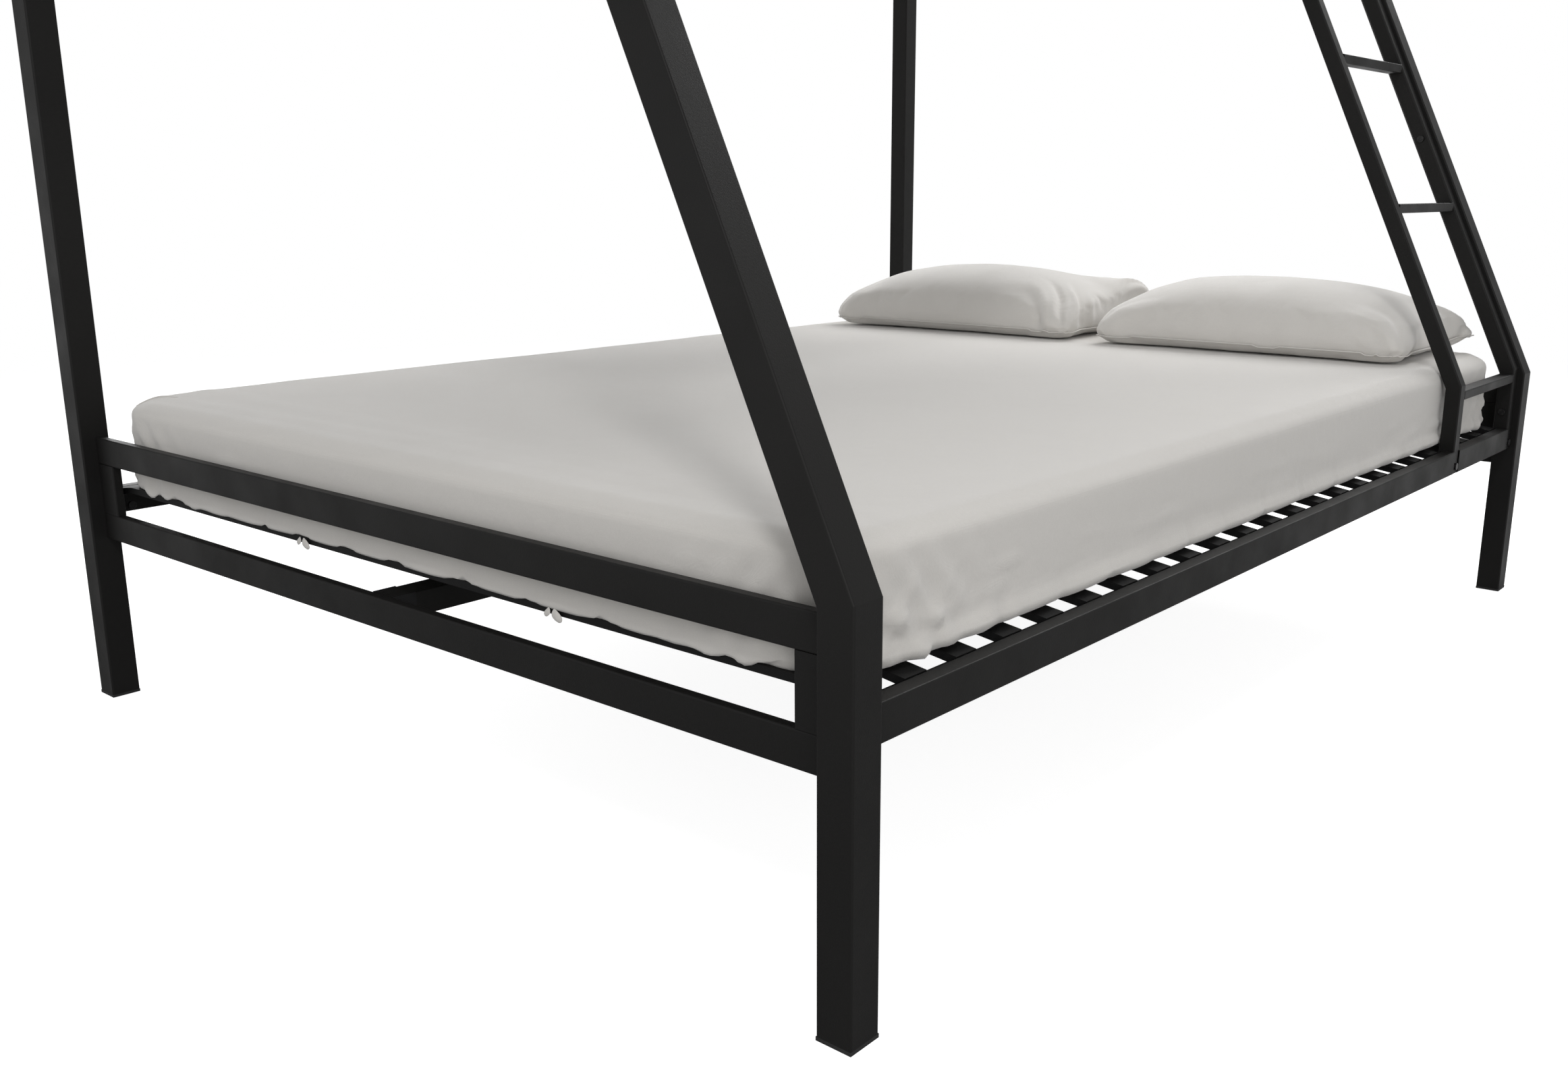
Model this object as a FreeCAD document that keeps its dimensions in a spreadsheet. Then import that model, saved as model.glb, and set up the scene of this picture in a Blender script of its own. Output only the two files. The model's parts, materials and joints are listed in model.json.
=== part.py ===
import FreeCAD, Part
import Sketcher
import math
import os

# A twin-over-full steel bunk bed with a ladder built into its front.
# The head end is towards +x, the ladder side towards -y, and the floor is z = 0.

doc = FreeCAD.newDocument("bunk_bed")

# ---- driving sizes, in millimetres --------------------------------------------------------

SIZES = [
    ("length", 1980, "outside of the posts, foot to head"),
    ("width", 1443, "outside of the posts, front to rear, at the full-size lower bunk"),
    ("height", 1830, "floor to the top of the posts"),
    ("post", 40, "square tube of the posts"),
    ("post_wall", 1.5, "wall of the post tube"),
    ("cap", 4, "flange of a plastic cap on a post end"),
    ("plug", 20, "length of a cap inside its tube"),
    ("play", 0.2, "gap round a plug or sleeve inside a tube"),
    ("bend", 408, "height at which the front legs start to lean back"),
    ("slope", 2.11, "rise for each millimetre that the front legs lean back"),
    ("inset", 381, "how much narrower the twin upper bunk is than the full lower one"),
    ("parting", 1262, "height at which the upper posts stand on the legs"),
    ("sleeve", 80, "length of the sleeve that joins a leg and its upper post"),
    ("rail_tall", 38, "height of every rail tube"),
    ("rail_wall", 1.2, "wall of every rail tube"),
    ("end_thick", 13, "thickness of the rails across the ends"),
    ("end_set", 20.5, "how far the end rails stand in from the face of the posts"),
    ("end_low", 240, "underside of the bottom rail across each end"),
    ("end_high", 350, "underside of the top rail across each end"),
    ("stub", 42, "width of the short uprights beside the posts"),
    ("side_thick", 20, "thickness of the side rails"),
    ("side_set", 10, "how far the side rails stand in from the face of the posts"),
    ("side_low", 272, "underside of the lower side rails"),
    ("storey", 1000, "rise from the lower bed base to the upper one"),
    ("guard_low", 1516, "underside of the lower guard bar"),
    ("guard_step", 122, "rise from one guard bar to the next"),
    ("stay_wide", 30, "width of the flat stays behind the guard bars"),
    ("stay_thick", 4, "thickness of those stays"),
    ("spigot", 45, "length of the spigot inside the end of a rail"),
    ("bolt", 6, "diameter of a frame bolt"),
    ("bolt_head", 12, "diameter of its head"),
    ("bolt_rise", 3.5, "height of its head"),
    ("bolt_long", 7, "length of its shank"),
    ("bolt_in", 25, "from the end of a rail to its bolt"),
    ("bolt_up", 8.5, "from the underside of a rail to its bolt"),
    ("stile", 25, "square tube of the ladder sides"),
    ("stile_wall", 1.5, "wall of the ladder tube"),
    ("stile_set", 12, "how far the ladder stands in from the face of the posts"),
    ("stile_foot", 617, "where the foot-side ladder tube starts, from the middle of the bed"),
    ("stile_bend", 418, "height at which the ladder starts to lean back"),
    ("stile_bolt", 284, "height of the bolt at the bottom of each ladder side"),
    ("rung_tall", 15, "height of a rung tube"),
    ("rung_deep", 25, "depth of a rung tube"),
    ("rung_first", 401, "middle of the first rung"),
    ("rung_second", 700, "middle of the second rung"),
    ("rung_step", 243, "rise between the rungs above it"),
    ("slat_wide", 33, "width of a slat"),
    ("slat_thick", 8.5, "depth of the pressed slat channel"),
    ("slat_skin", 1.2, "thickness of the slat's sheet steel"),
    ("slat_pitch", 80, "from one slat to the next"),
    ("slat_first", -949.5, "foot edge of the first slat, just inside the posts"),
    ("slat_second", -877, "foot edge of the second slat, from the middle of the bed"),
    ("slat_droop", 60, "length of the sloping end of a slat"),
    ("slat_gap", 1.5, "gap between a slat's end and the side rail"),
    ("ledge", 15, "width of the ledge the slats lie on"),
    ("ledge_skin", 2, "thickness of the ledge"),
    ("beam_wide", 38, "width of the centre beam"),
    ("beam_tall", 30, "height of the centre beam"),
    ("hanger", 2, "thickness of the hangers under the beam ends"),
    ("hanger_deep", 30, "how far a hanger reaches along the beam"),
    ("air", 0.4, "air left round soft goods"),
    ("bedding_long", 1892, "length of both mattresses"),
    ("full_wide", 1350, "width of the lower mattress"),
    ("twin_wide", 960, "width of the upper mattress"),
    ("bedding_tall", 127, "thickness of both mattresses"),
    ("pillow_long", 380, "pillow, foot to head"),
    ("pillow_wide", 630, "pillow, side to side"),
    ("pillow_tall", 128, "pillow, plumped up"),
    ("pillow_from", 585, "foot edge of the lower pillows, from the middle of the bed"),
    ("pillow_back", 20, "how much further from the head end the upper pillow lies"),
    ("pillow_gap", 12, "gap between the two lower pillows"),
]

SLATS = 24                # slats under each mattress
RUNGS = 4                 # rungs of the ladder
END_GUARDS = 3            # bars across each end of the upper bunk, above its base
POST_ROUND = 2.5          # outside corner radius of the post and ladder tubes
RAIL_ROUND = 2.0          # outside corner radius of the rail tubes
MATTRESS_CORNER = 95.0    # plan radius of a mattress corner
MATTRESS_EDGE = 30.0      # radius along a mattress edge

sheet = doc.addObject("Spreadsheet::Sheet", "bed")
for row, (name, value, note) in enumerate(SIZES, 1):
    sheet.set("A%d" % row, note)
    sheet.set("B%d" % row, str(value))
    sheet.setAlias("B%d" % row, name)
doc.recompute()

# Places that many pieces share, as expressions of the driving sizes.
FOOT = "(-bed.length / 2)"
HEAD = "(bed.length / 2)"
FRONT = "(-bed.width / 2)"
REAR = "(bed.width / 2)"
UPPER_FRONT = "(-bed.width / 2 + bed.inset)"
LEAN = "sqrt(1 + 1 / (bed.slope * bed.slope))"
UPPER_SIDE_LOW = "(bed.side_low + bed.storey)"
STILE_HEAD = "(bed.length / 2 - bed.post - bed.stile)"
GUARD_TOP = "(bed.guard_low + bed.guard_step + bed.rail_tall)"

pieces = []


def keep(item, name):
    """Give a finished piece its name and put it on the list of pieces."""
    item.Label = name
    pieces.append(item)
    return item


def place(item, at):
    """Bind an object's corner to three expressions."""
    for axis, expression in zip("xyz", at):
        item.setExpression("Placement.Base." + axis, expression)


def box(name, size, at):
    """A plain box from three size expressions and three corner expressions."""
    item = doc.addObject("Part::Box", name)
    for side, expression in zip(("Length", "Width", "Height"), size):
        item.setExpression(side, expression)
    place(item, at)
    return item


def rod(name, diameter, length, at, turn):
    """A round bar of the given diameter, turned so that it points the right way."""
    item = doc.addObject("Part::Cylinder", name)
    item.setExpression("Radius", "%s / 2" % diameter)
    item.setExpression("Height", length)
    item.Placement.Rotation = turn
    place(item, at)
    return item


ALONG_Y = FreeCAD.Rotation(FreeCAD.Vector(1, 0, 0), -90)
AGAINST_Y = FreeCAD.Rotation(FreeCAD.Vector(1, 0, 0), 90)
ALONG_X = FreeCAD.Rotation(FreeCAD.Vector(0, 1, 0), 90)
STANDING = FreeCAD.Rotation(90, 0, 90)


def cut(name, base, tool):
    """The base with the tool taken out of it."""
    item = doc.addObject("Part::Cut", name)
    item.Base = base
    item.Tool = tool
    return item


def group(name, members):
    """Several separate solids under one name."""
    item = doc.addObject("Part::Compound", name)
    item.Links = members
    return item


def round_long_edges(name, solid, radius, is_long):
    """Round the edges of a tube that run along its length."""
    solid.recompute()
    rounded = doc.addObject("Part::Fillet", name)
    rounded.Base = solid
    rounded.Edges = [(number, radius, radius)
                     for number, edge in enumerate(solid.Shape.Edges, 1) if is_long(edge)]
    return rounded


def tube(name, along, size, at, wall, radius, holes=()):
    """A straight rectangular tube, open at its ends, with any bolt holes drilled in it."""
    axis = "xyz".index(along)
    outside = box(name + "_outside", size, at)
    outside.recompute()

    def is_long(edge):
        way = edge.tangentAt(edge.FirstParameter)
        return abs(way[axis]) > 0.99

    rounded = round_long_edges(name + "_rounded", outside, radius, is_long)
    bore_size = [s if i == axis else "%s - 2 * %s" % (s, wall) for i, s in enumerate(size)]
    bore_at = [a if i == axis else "%s + %s" % (a, wall) for i, a in enumerate(at)]
    bore = box(name + "_bore", bore_size, bore_at)
    hollow = cut(name + "_hollow" if holes else name, rounded, bore)
    if holes:
        hollow = cut(name, hollow, group(name + "_holes", list(holes)))
    return hollow


def outline(name, start, corners):
    """A closed outline in an upright plane across the bed.

    Each corner is a pair of expressions, (towards the rear, up), and start is the
    expression for where the plane stands along the bed.
    """
    sketch = doc.addObject("Sketcher::SketchObject", name)
    sketch.Placement.Rotation = STANDING
    sketch.setExpression("Placement.Base.x", start)
    count = len(corners)
    ring = [FreeCAD.Vector(100 * math.cos(2 * math.pi * i / count),
                           100 * math.sin(2 * math.pi * i / count), 0) for i in range(count)]
    for i in range(count):
        sketch.addGeometry(Part.LineSegment(ring[i], ring[(i + 1) % count]))
    for i in range(count):
        sketch.addConstraint(Sketcher.Constraint("Coincident", i, 2, (i + 1) % count, 1))
    for i, (across, up) in enumerate(corners):
        for kind, value, expression in (("DistanceX", ring[i].x, across),
                                        ("DistanceY", ring[i].y, up)):
            number = sketch.addConstraint(Sketcher.Constraint(kind, -1, 1, i, 1, value))
            sketch.setExpression("Constraints[%d]" % number, expression)
    return sketch


def thicken(name, sketch, thickness):
    """Give an upright outline its thickness along the bed."""
    solid = doc.addObject("Part::Extrusion", name)
    solid.Base = sketch
    solid.DirMode = "Normal"
    solid.Solid = True
    solid.setExpression("LengthFwd", thickness)
    return solid


def leaning_corners(face, bend, width, inner, bottom, top):
    """Corners of a tube that stands up, leans back by the inset and stands up again.

    face is the front of the tube at the floor; inner is how far the outline is drawn
    inside the tube's own skin.
    """
    corners = []
    for offset in ("(%s)" % inner, "(%s - %s)" % (width, inner)):
        drop = "bed.slope * %s * (%s - 1)" % (offset, LEAN)
        low = "%s - %s" % (bend, drop)
        high = "%s + bed.inset * bed.slope - %s" % (bend, drop)
        column = [("%s + %s" % (face, offset), bottom),
                  ("%s + %s" % (face, offset), low),
                  ("%s + bed.inset + %s" % (face, offset), high),
                  ("%s + bed.inset + %s" % (face, offset), top)]
        corners.append(column)
    return corners[0] + corners[1][::-1]


def leaning_tube(name, start, face, bend, width, wall, bottom, top, holes=()):
    """A square tube with two mitred bends, hollow from end to end."""
    skin = outline(name + "_outline", start,
                   leaning_corners(face, bend, width, "0", bottom, top))
    outside = thicken(name + "_outside", skin, width)
    skin.recompute()
    outside.recompute()

    def is_long(edge):
        way = edge.tangentAt(edge.FirstParameter)
        return abs(way.x) < 0.01 and abs(way.y) < 0.99

    rounded = round_long_edges(name + "_rounded", outside, POST_ROUND, is_long)
    hollow_line = outline(name + "_bore_outline", "%s + %s" % (start, wall),
                          leaning_corners(face, bend, width, wall, bottom + " - 1", top + " + 1"))
    bore = thicken(name + "_bore", hollow_line, "%s - 2 * %s" % (width, wall))
    hollow = cut(name + "_hollow" if holes else name, rounded, bore)
    if holes:
        hollow = cut(name, hollow, group(name + "_holes", list(holes)))
    return hollow


# ---- posts --------------------------------------------------------------------------------

LADDER_BOLTS = ("(bed.end_high - 10)", "(bed.stile_bend + bed.inset * bed.slope / 2)",
                "(bed.parting + 200)")


def stile_middle(height_expression, leaning):
    """Middle of a ladder side, front to rear, at a given height."""
    base = "%s + bed.stile_set + bed.stile / 2" % FRONT
    if leaning == "bottom":
        return base
    if leaning == "top":
        return base + " + bed.inset"
    shift = "(%s - bed.stile_bend) / bed.slope" % height_expression
    return "%s + bed.stile_set + %s + %s * bed.stile / 2" % (FRONT, shift, LEAN)


LADDER_SPOTS = [(LADDER_BOLTS[0], "bottom"), (LADDER_BOLTS[1], "middle"), (LADDER_BOLTS[2], "top")]


def ladder_holes(name, spots, start, reach):
    """Holes along the bed for the bolts that fix the ladder to the head-end post."""
    holes = []
    for number, (height, part) in enumerate(spots):
        at = (start, stile_middle(height, part), height)
        holes.append(rod("%s_hole_%d" % (name, number), "(bed.bolt + 2 * bed.play)", reach, at,
                         ALONG_X))
    return holes


def make_legs():
    """Four legs: two straight ones at the rear, two that lean back at the front."""
    for end, start in (("foot", FOOT), ("head", HEAD + " - bed.post")):
        name = "front_leg_" + end
        holes = ()
        if end == "head":
            holes = ladder_holes(name, LADDER_SPOTS[:2], start + " - 1",
                                 "bed.post_wall + 2")
        leg = leaning_tube(name, start, FRONT, "bed.bend", "bed.post", "bed.post_wall",
                           "bed.cap", "bed.parting", holes)
        keep(leg, name)
        name = "rear_leg_" + end
        leg = tube(name, "z", ("bed.post", "bed.post", "bed.parting - bed.cap"),
                   (start, REAR + " - bed.post", "bed.cap"), "bed.post_wall", POST_ROUND)
        keep(leg, name)


def make_upper_posts():
    """Four short posts that carry the upper bunk and its guard rails."""
    for end, start in (("foot", FOOT), ("head", HEAD + " - bed.post")):
        for side, face in (("front", UPPER_FRONT), ("rear", REAR + " - bed.post")):
            name = "upper_post_%s_%s" % (side, end)
            holes = ()
            if (side, end) == ("front", "head"):
                holes = ladder_holes(name, LADDER_SPOTS[2:], start + " - 1",
                                     "bed.post_wall + 2")
            post = tube(name, "z",
                        ("bed.post", "bed.post", "bed.height - bed.cap - bed.parting"),
                        (start, face, "bed.parting"), "bed.post_wall", POST_ROUND, holes)
            keep(post, name)


def post_corners():
    """(name, x, y at the floor, y at the top) of the four posts' outer tube corners."""
    for end, start in (("foot", FOOT), ("head", HEAD + " - bed.post")):
        yield "front_" + end, start, FRONT, UPPER_FRONT
        yield "rear_" + end, start, REAR + " - bed.post", REAR + " - bed.post"


def make_caps_and_sleeves():
    """Plastic caps in both ends of the posts, and the steel sleeves where they part."""
    plug_wide = "bed.post - 2 * bed.post_wall - 2 * bed.play"
    plug_in = "bed.post_wall + bed.play"
    feet, tops, sleeves = [], [], []
    for name, x, y_floor, y_top in post_corners():
        plate = box("foot_plate_" + name, ("bed.post", "bed.post", "bed.cap"), (x, y_floor, "0"))
        plug = box("foot_plug_" + name, (plug_wide, plug_wide, "bed.plug"),
                   ("%s + %s" % (x, plug_in), "%s + %s" % (y_floor, plug_in), "bed.cap"))
        foot = doc.addObject("Part::MultiFuse", "foot_cap_" + name)
        foot.Shapes = [plate, plug]
        feet.append(foot)
        plate = box("top_plate_" + name, ("bed.post", "bed.post", "bed.cap"),
                    (x, y_top, "bed.height - bed.cap"))
        plug = box("top_plug_" + name, (plug_wide, plug_wide, "bed.plug"),
                   ("%s + %s" % (x, plug_in), "%s + %s" % (y_top, plug_in),
                    "bed.height - bed.cap - bed.plug"))
        top = doc.addObject("Part::MultiFuse", "top_cap_" + name)
        top.Shapes = [plate, plug]
        tops.append(top)
        sleeve = tube("sleeve_" + name, "z", (plug_wide, plug_wide, "bed.sleeve"),
                      ("%s + %s" % (x, plug_in), "%s + %s" % (y_top, plug_in),
                       "bed.parting - bed.sleeve / 2"), "bed.post_wall", 1.0)
        sleeves.append(sleeve)
    keep(group("foot_caps", feet), "foot_caps")
    keep(group("top_caps", tops), "top_caps")
    keep(group("joining_sleeves", sleeves), "joining_sleeves")


# ---- rails across the ends ------------------------------------------------------------------

def end_places():
    """(name, x of the end rails' outer corner) for the foot and the head."""
    yield "foot", FOOT + " + bed.end_set"
    yield "head", HEAD + " - bed.end_set - bed.end_thick"


def make_lower_ends():
    """Each lower end is a welded panel: two rails and a short upright beside each post."""
    inside = FRONT + " + bed.post"
    span = "bed.width - 2 * bed.post"
    for end, x in end_places():
        for name, low in (("top", "bed.end_high"), ("bottom", "bed.end_low")):
            label = "%s_end_%s_rail" % (end, name)
            keep(tube(label, "y", ("bed.end_thick", span, "bed.rail_tall"), (x, inside, low),
                      "bed.rail_wall", RAIL_ROUND), label)
        tall = "bed.end_high - bed.end_low - bed.rail_tall"
        low = "bed.end_low + bed.rail_tall"
        stubs = [tube("%s_end_stub_%s" % (end, side), "z", ("bed.end_thick", "bed.stub", tall),
                      (x, y, low), "bed.rail_wall", RAIL_ROUND)
                 for side, y in (("front", inside), ("rear", REAR + " - bed.post - bed.stub"))]
        keep(group(end + "_end_stubs", stubs), end + "_end_stubs")


def make_upper_ends():
    """Each upper end has a base rail and three bars above the mattress."""
    inside = UPPER_FRONT + " + bed.post"
    span = "bed.width - bed.inset - 2 * bed.post"
    levels = [UPPER_SIDE_LOW] + ["bed.guard_low + %d * bed.guard_step" % i for i in range(END_GUARDS)]
    for end, x in end_places():
        for number, low in enumerate(levels, 1):
            label = "upper_%s_bar_%d" % (end, number)
            keep(tube(label, "y", ("bed.end_thick", span, "bed.rail_tall"), (x, inside, low),
                      "bed.rail_wall", RAIL_ROUND), label)


# ---- rails along the sides ------------------------------------------------------------------

spigots = []
bolts = []


def button_bolt(name, at, turn, head_turn):
    """A bolt with a round head; at is the point on the surface it is driven into."""
    shank = rod(name + "_shank", "bed.bolt", "bed.bolt_long", at, turn)
    head = rod(name + "_head", "bed.bolt_head", "bed.bolt_rise", at, head_turn)
    item = doc.addObject("Part::MultiFuse", name)
    item.Shapes = [shank, head]
    bolts.append(item)


def side_rail(name, start, end, front_face, low, faces_rear):
    """A rail between two uprights, slid over a spigot at each end and bolted from inside."""
    at_wall = "%s + bed.side_thick" % front_face if faces_rear else front_face
    tall = "bed.rail_tall"
    drill_at = at_wall + (" + 1" if faces_rear else " - 1")
    inward = AGAINST_Y if faces_rear else ALONG_Y
    outward = ALONG_Y if faces_rear else AGAINST_Y
    middle = low + " + bed.bolt_up"
    holes = []
    gap = "(bed.rail_wall + bed.play)"
    for number, (x_bolt, x_spigot) in enumerate((
            (start + " + bed.bolt_in", start),
            (end + " - bed.bolt_in", end + " - bed.spigot"))):
        key = "%s_%d" % (name, number)
        holes.append(rod(key + "_hole", "(bed.bolt + 2 * bed.play)", "bed.rail_wall + 2",
                         (x_bolt, drill_at, middle), inward))
        spigot_hole = rod(key + "_spigot_hole", "(bed.bolt + 2 * bed.play)",
                          "bed.side_thick / 2 + 1", (x_bolt, drill_at, middle), inward)
        spigots.append(tube(key + "_spigot", "x",
                            ("bed.spigot", "bed.side_thick - 2 * " + gap, tall + " - 2 * " + gap),
                            (x_spigot, "%s + %s" % (front_face, gap), "%s + %s" % (low, gap)),
                            "bed.post_wall", 1.0, [spigot_hole]))
        button_bolt(key + "_bolt", (x_bolt, at_wall, middle), inward, outward)
    rail = tube(name, "x", ("%s - (%s)" % (end, start), "bed.side_thick", tall),
                (start, front_face, low), "bed.rail_wall", RAIL_ROUND, holes)
    keep(rail, name)


def make_side_rails():
    """The rails of both beds and the guard bars above the upper one."""
    after_foot = FOOT + " + bed.post"
    before_head = HEAD + " - bed.post"
    front = FRONT + " + bed.side_set"
    upper_front = UPPER_FRONT + " + bed.side_set"
    rear = REAR + " - bed.side_set - bed.side_thick"
    side_rail("front_side_rail", after_foot, "bed.stile_foot", front, "bed.side_low", True)
    side_rail("rear_side_rail", after_foot, before_head, rear, "bed.side_low", False)
    side_rail("upper_front_side_rail", after_foot, "bed.stile_foot", upper_front,
              UPPER_SIDE_LOW, True)
    side_rail("upper_rear_side_rail", after_foot, before_head, rear, UPPER_SIDE_LOW, False)
    for number in range(2):
        low = "(bed.guard_low + %d * bed.guard_step)" % number
        side_rail("front_guard_bar_%d" % (number + 1), after_foot, "bed.stile_foot",
                  upper_front, low, True)
        side_rail("rear_guard_bar_%d" % (number + 1), after_foot, before_head, rear, low, False)


def make_guard_stays():
    """Flat uprights that tie the guard bars to the rail below them."""
    tall = "%s - %s" % (GUARD_TOP, UPPER_SIDE_LOW)
    runs = (("front", UPPER_FRONT + " + bed.side_set - bed.stay_thick",
             "(%s + bed.post + bed.stile_foot) / 2" % FOOT, "(bed.stile_foot + bed.length / 2) / 6"),
            ("rear", REAR + " - bed.side_set", "0", "bed.length / 6"))
    for side, y, middle, step in runs:
        stays = []
        for number, sign in enumerate(("-", "+")):
            x = "%s %s %s - bed.stay_wide / 2" % (middle, sign, step)
            stays.append(box("%s_guard_stay_%d" % (side, number),
                             ("bed.stay_wide", "bed.stay_thick", tall), (x, y, UPPER_SIDE_LOW)))
        keep(group(side + "_guard_stays", stays), side + "_guard_stays")


# ---- bed bases --------------------------------------------------------------------------------

def ledge_run(name, start, end, wall_face, low, sign):
    """An angle strip welded to the inner face of a rail; sign points into the bed."""
    top = "%s + bed.rail_tall - bed.slat_thick" % low
    foot = "%s + bed.ledge" % low
    lip = "%s %s bed.ledge" % (wall_face, sign)
    skin = "%s %s bed.ledge_skin" % (wall_face, sign)
    corners = [(wall_face, foot), (wall_face, top), (lip, top), (lip, top + " - bed.ledge_skin"),
               (skin, top + " - bed.ledge_skin"), (skin, foot)]
    return thicken(name, outline(name + "_outline", start, corners), "%s - (%s)" % (end, start))


def make_ledges():
    """Angle strips for the slat ends, with a break at the ladder on the front."""
    after_foot = FOOT + " + bed.post"
    before_head = HEAD + " - bed.post"
    for level, low, face in (("lower", "bed.side_low", FRONT),
                             ("upper", UPPER_SIDE_LOW, UPPER_FRONT)):
        front = face + " + bed.side_set + bed.side_thick"
        rear = REAR + " - bed.side_set - bed.side_thick"
        main = ledge_run(level + "_front_ledge_main", after_foot, "bed.stile_foot",
                         front, low, "+")
        short = ledge_run(level + "_front_ledge_short", "bed.stile_foot + bed.stile",
                          STILE_HEAD, front, low, "+")
        keep(group(level + "_front_ledge", [main, short]), level + "_front_ledge")
        strip = ledge_run(level + "_rear_ledge", after_foot, before_head, rear, low, "-")
        keep(strip, level + "_rear_ledge")


def slat_corners(middle, reach, top, lower, past):
    """Side view of a slat: level in the middle, sloping down at both ends."""
    left = "%s - (%s + %s)" % (middle, reach, past)
    right = "%s + (%s + %s)" % (middle, reach, past)
    left_knee = "%s - (%s - bed.slat_droop)" % (middle, reach)
    right_knee = "%s + (%s - bed.slat_droop)" % (middle, reach)
    fall = "bed.slat_thick"
    return [(left, "%s - %s - %s" % (top, fall, lower)), (left, "%s - %s" % (top, fall)),
            (left_knee, top), (right_knee, top), (right, "%s - %s" % (top, fall)),
            (right, "%s - %s - %s" % (top, fall, lower)),
            (right_knee, "%s - %s" % (top, lower)), (left_knee, "%s - %s" % (top, lower))]


def make_slats():
    """Pressed steel channels laid across each bed, all alike and evenly spaced."""
    for level, low, face in (("lower", "bed.side_low", FRONT),
                             ("upper", UPPER_SIDE_LOW, UPPER_FRONT)):
        middle = "((%s + %s) / 2)" % (face, REAR)
        reach = "((%s - %s) / 2 - bed.side_set - bed.side_thick - bed.slat_gap)" % (REAR, face)
        top = "(%s + bed.rail_tall + bed.slat_thick)" % low
        skin = outline(level + "_slat_outline", "bed.slat_first",
                       slat_corners(middle, reach, top, "bed.slat_thick", "0"))
        channel = outline(level + "_slat_channel_outline", "bed.slat_first + bed.slat_skin",
                          slat_corners(middle, reach, top + " - bed.slat_skin",
                                       "bed.slat_thick", "1"))
        slat = cut(level + "_slat", thicken(level + "_slat_solid", skin, "bed.slat_wide"),
                   thicken(level + "_slat_channel", channel,
                           "bed.slat_wide - 2 * bed.slat_skin"))
        row = []
        for number in range(SLATS):
            copy = doc.addObject("App::Link", "%s_slat_%d" % (level, number + 1))
            copy.LinkedObject = slat
            if number:
                copy.setExpression("Placement.Base.x", "bed.slat_second - bed.slat_first"
                                   " + %d * bed.slat_pitch" % (number - 1))
            row.append(copy)
        keep(group(level + "_slats", row), level + "_slats")


def make_beam():
    """The beam down the middle of the lower bed, in a hanger at each end."""
    start = FOOT + " + bed.end_set + bed.end_thick"
    end = HEAD + " - bed.end_set - bed.end_thick"
    low = "(bed.end_low + bed.rail_tall - bed.beam_tall)"
    keep(tube("centre_beam", "x", ("%s - (%s)" % (end, start), "bed.beam_wide", "bed.beam_tall"),
              (start, "-bed.beam_wide / 2", low), "bed.rail_wall", RAIL_ROUND), "centre_beam")
    hangers = []
    for name, x in (("foot", start), ("head", end + " - bed.hanger_deep")):
        outer = box("hanger_outside_" + name,
                    ("bed.hanger_deep", "bed.beam_wide + 2 * bed.hanger",
                     "bed.beam_tall + bed.hanger"),
                    (x, "-bed.beam_wide / 2 - bed.hanger", "%s - bed.hanger" % low))
        inner = box("hanger_inside_" + name,
                    ("bed.hanger_deep + 2", "bed.beam_wide", "bed.beam_tall + 1"),
                    (x + " - 1", "-bed.beam_wide / 2", low))
        hangers.append(cut("hanger_" + name, outer, inner))
    keep(group("beam_hangers", hangers), "beam_hangers")


# ---- ladder -------------------------------------------------------------------------------------

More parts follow.
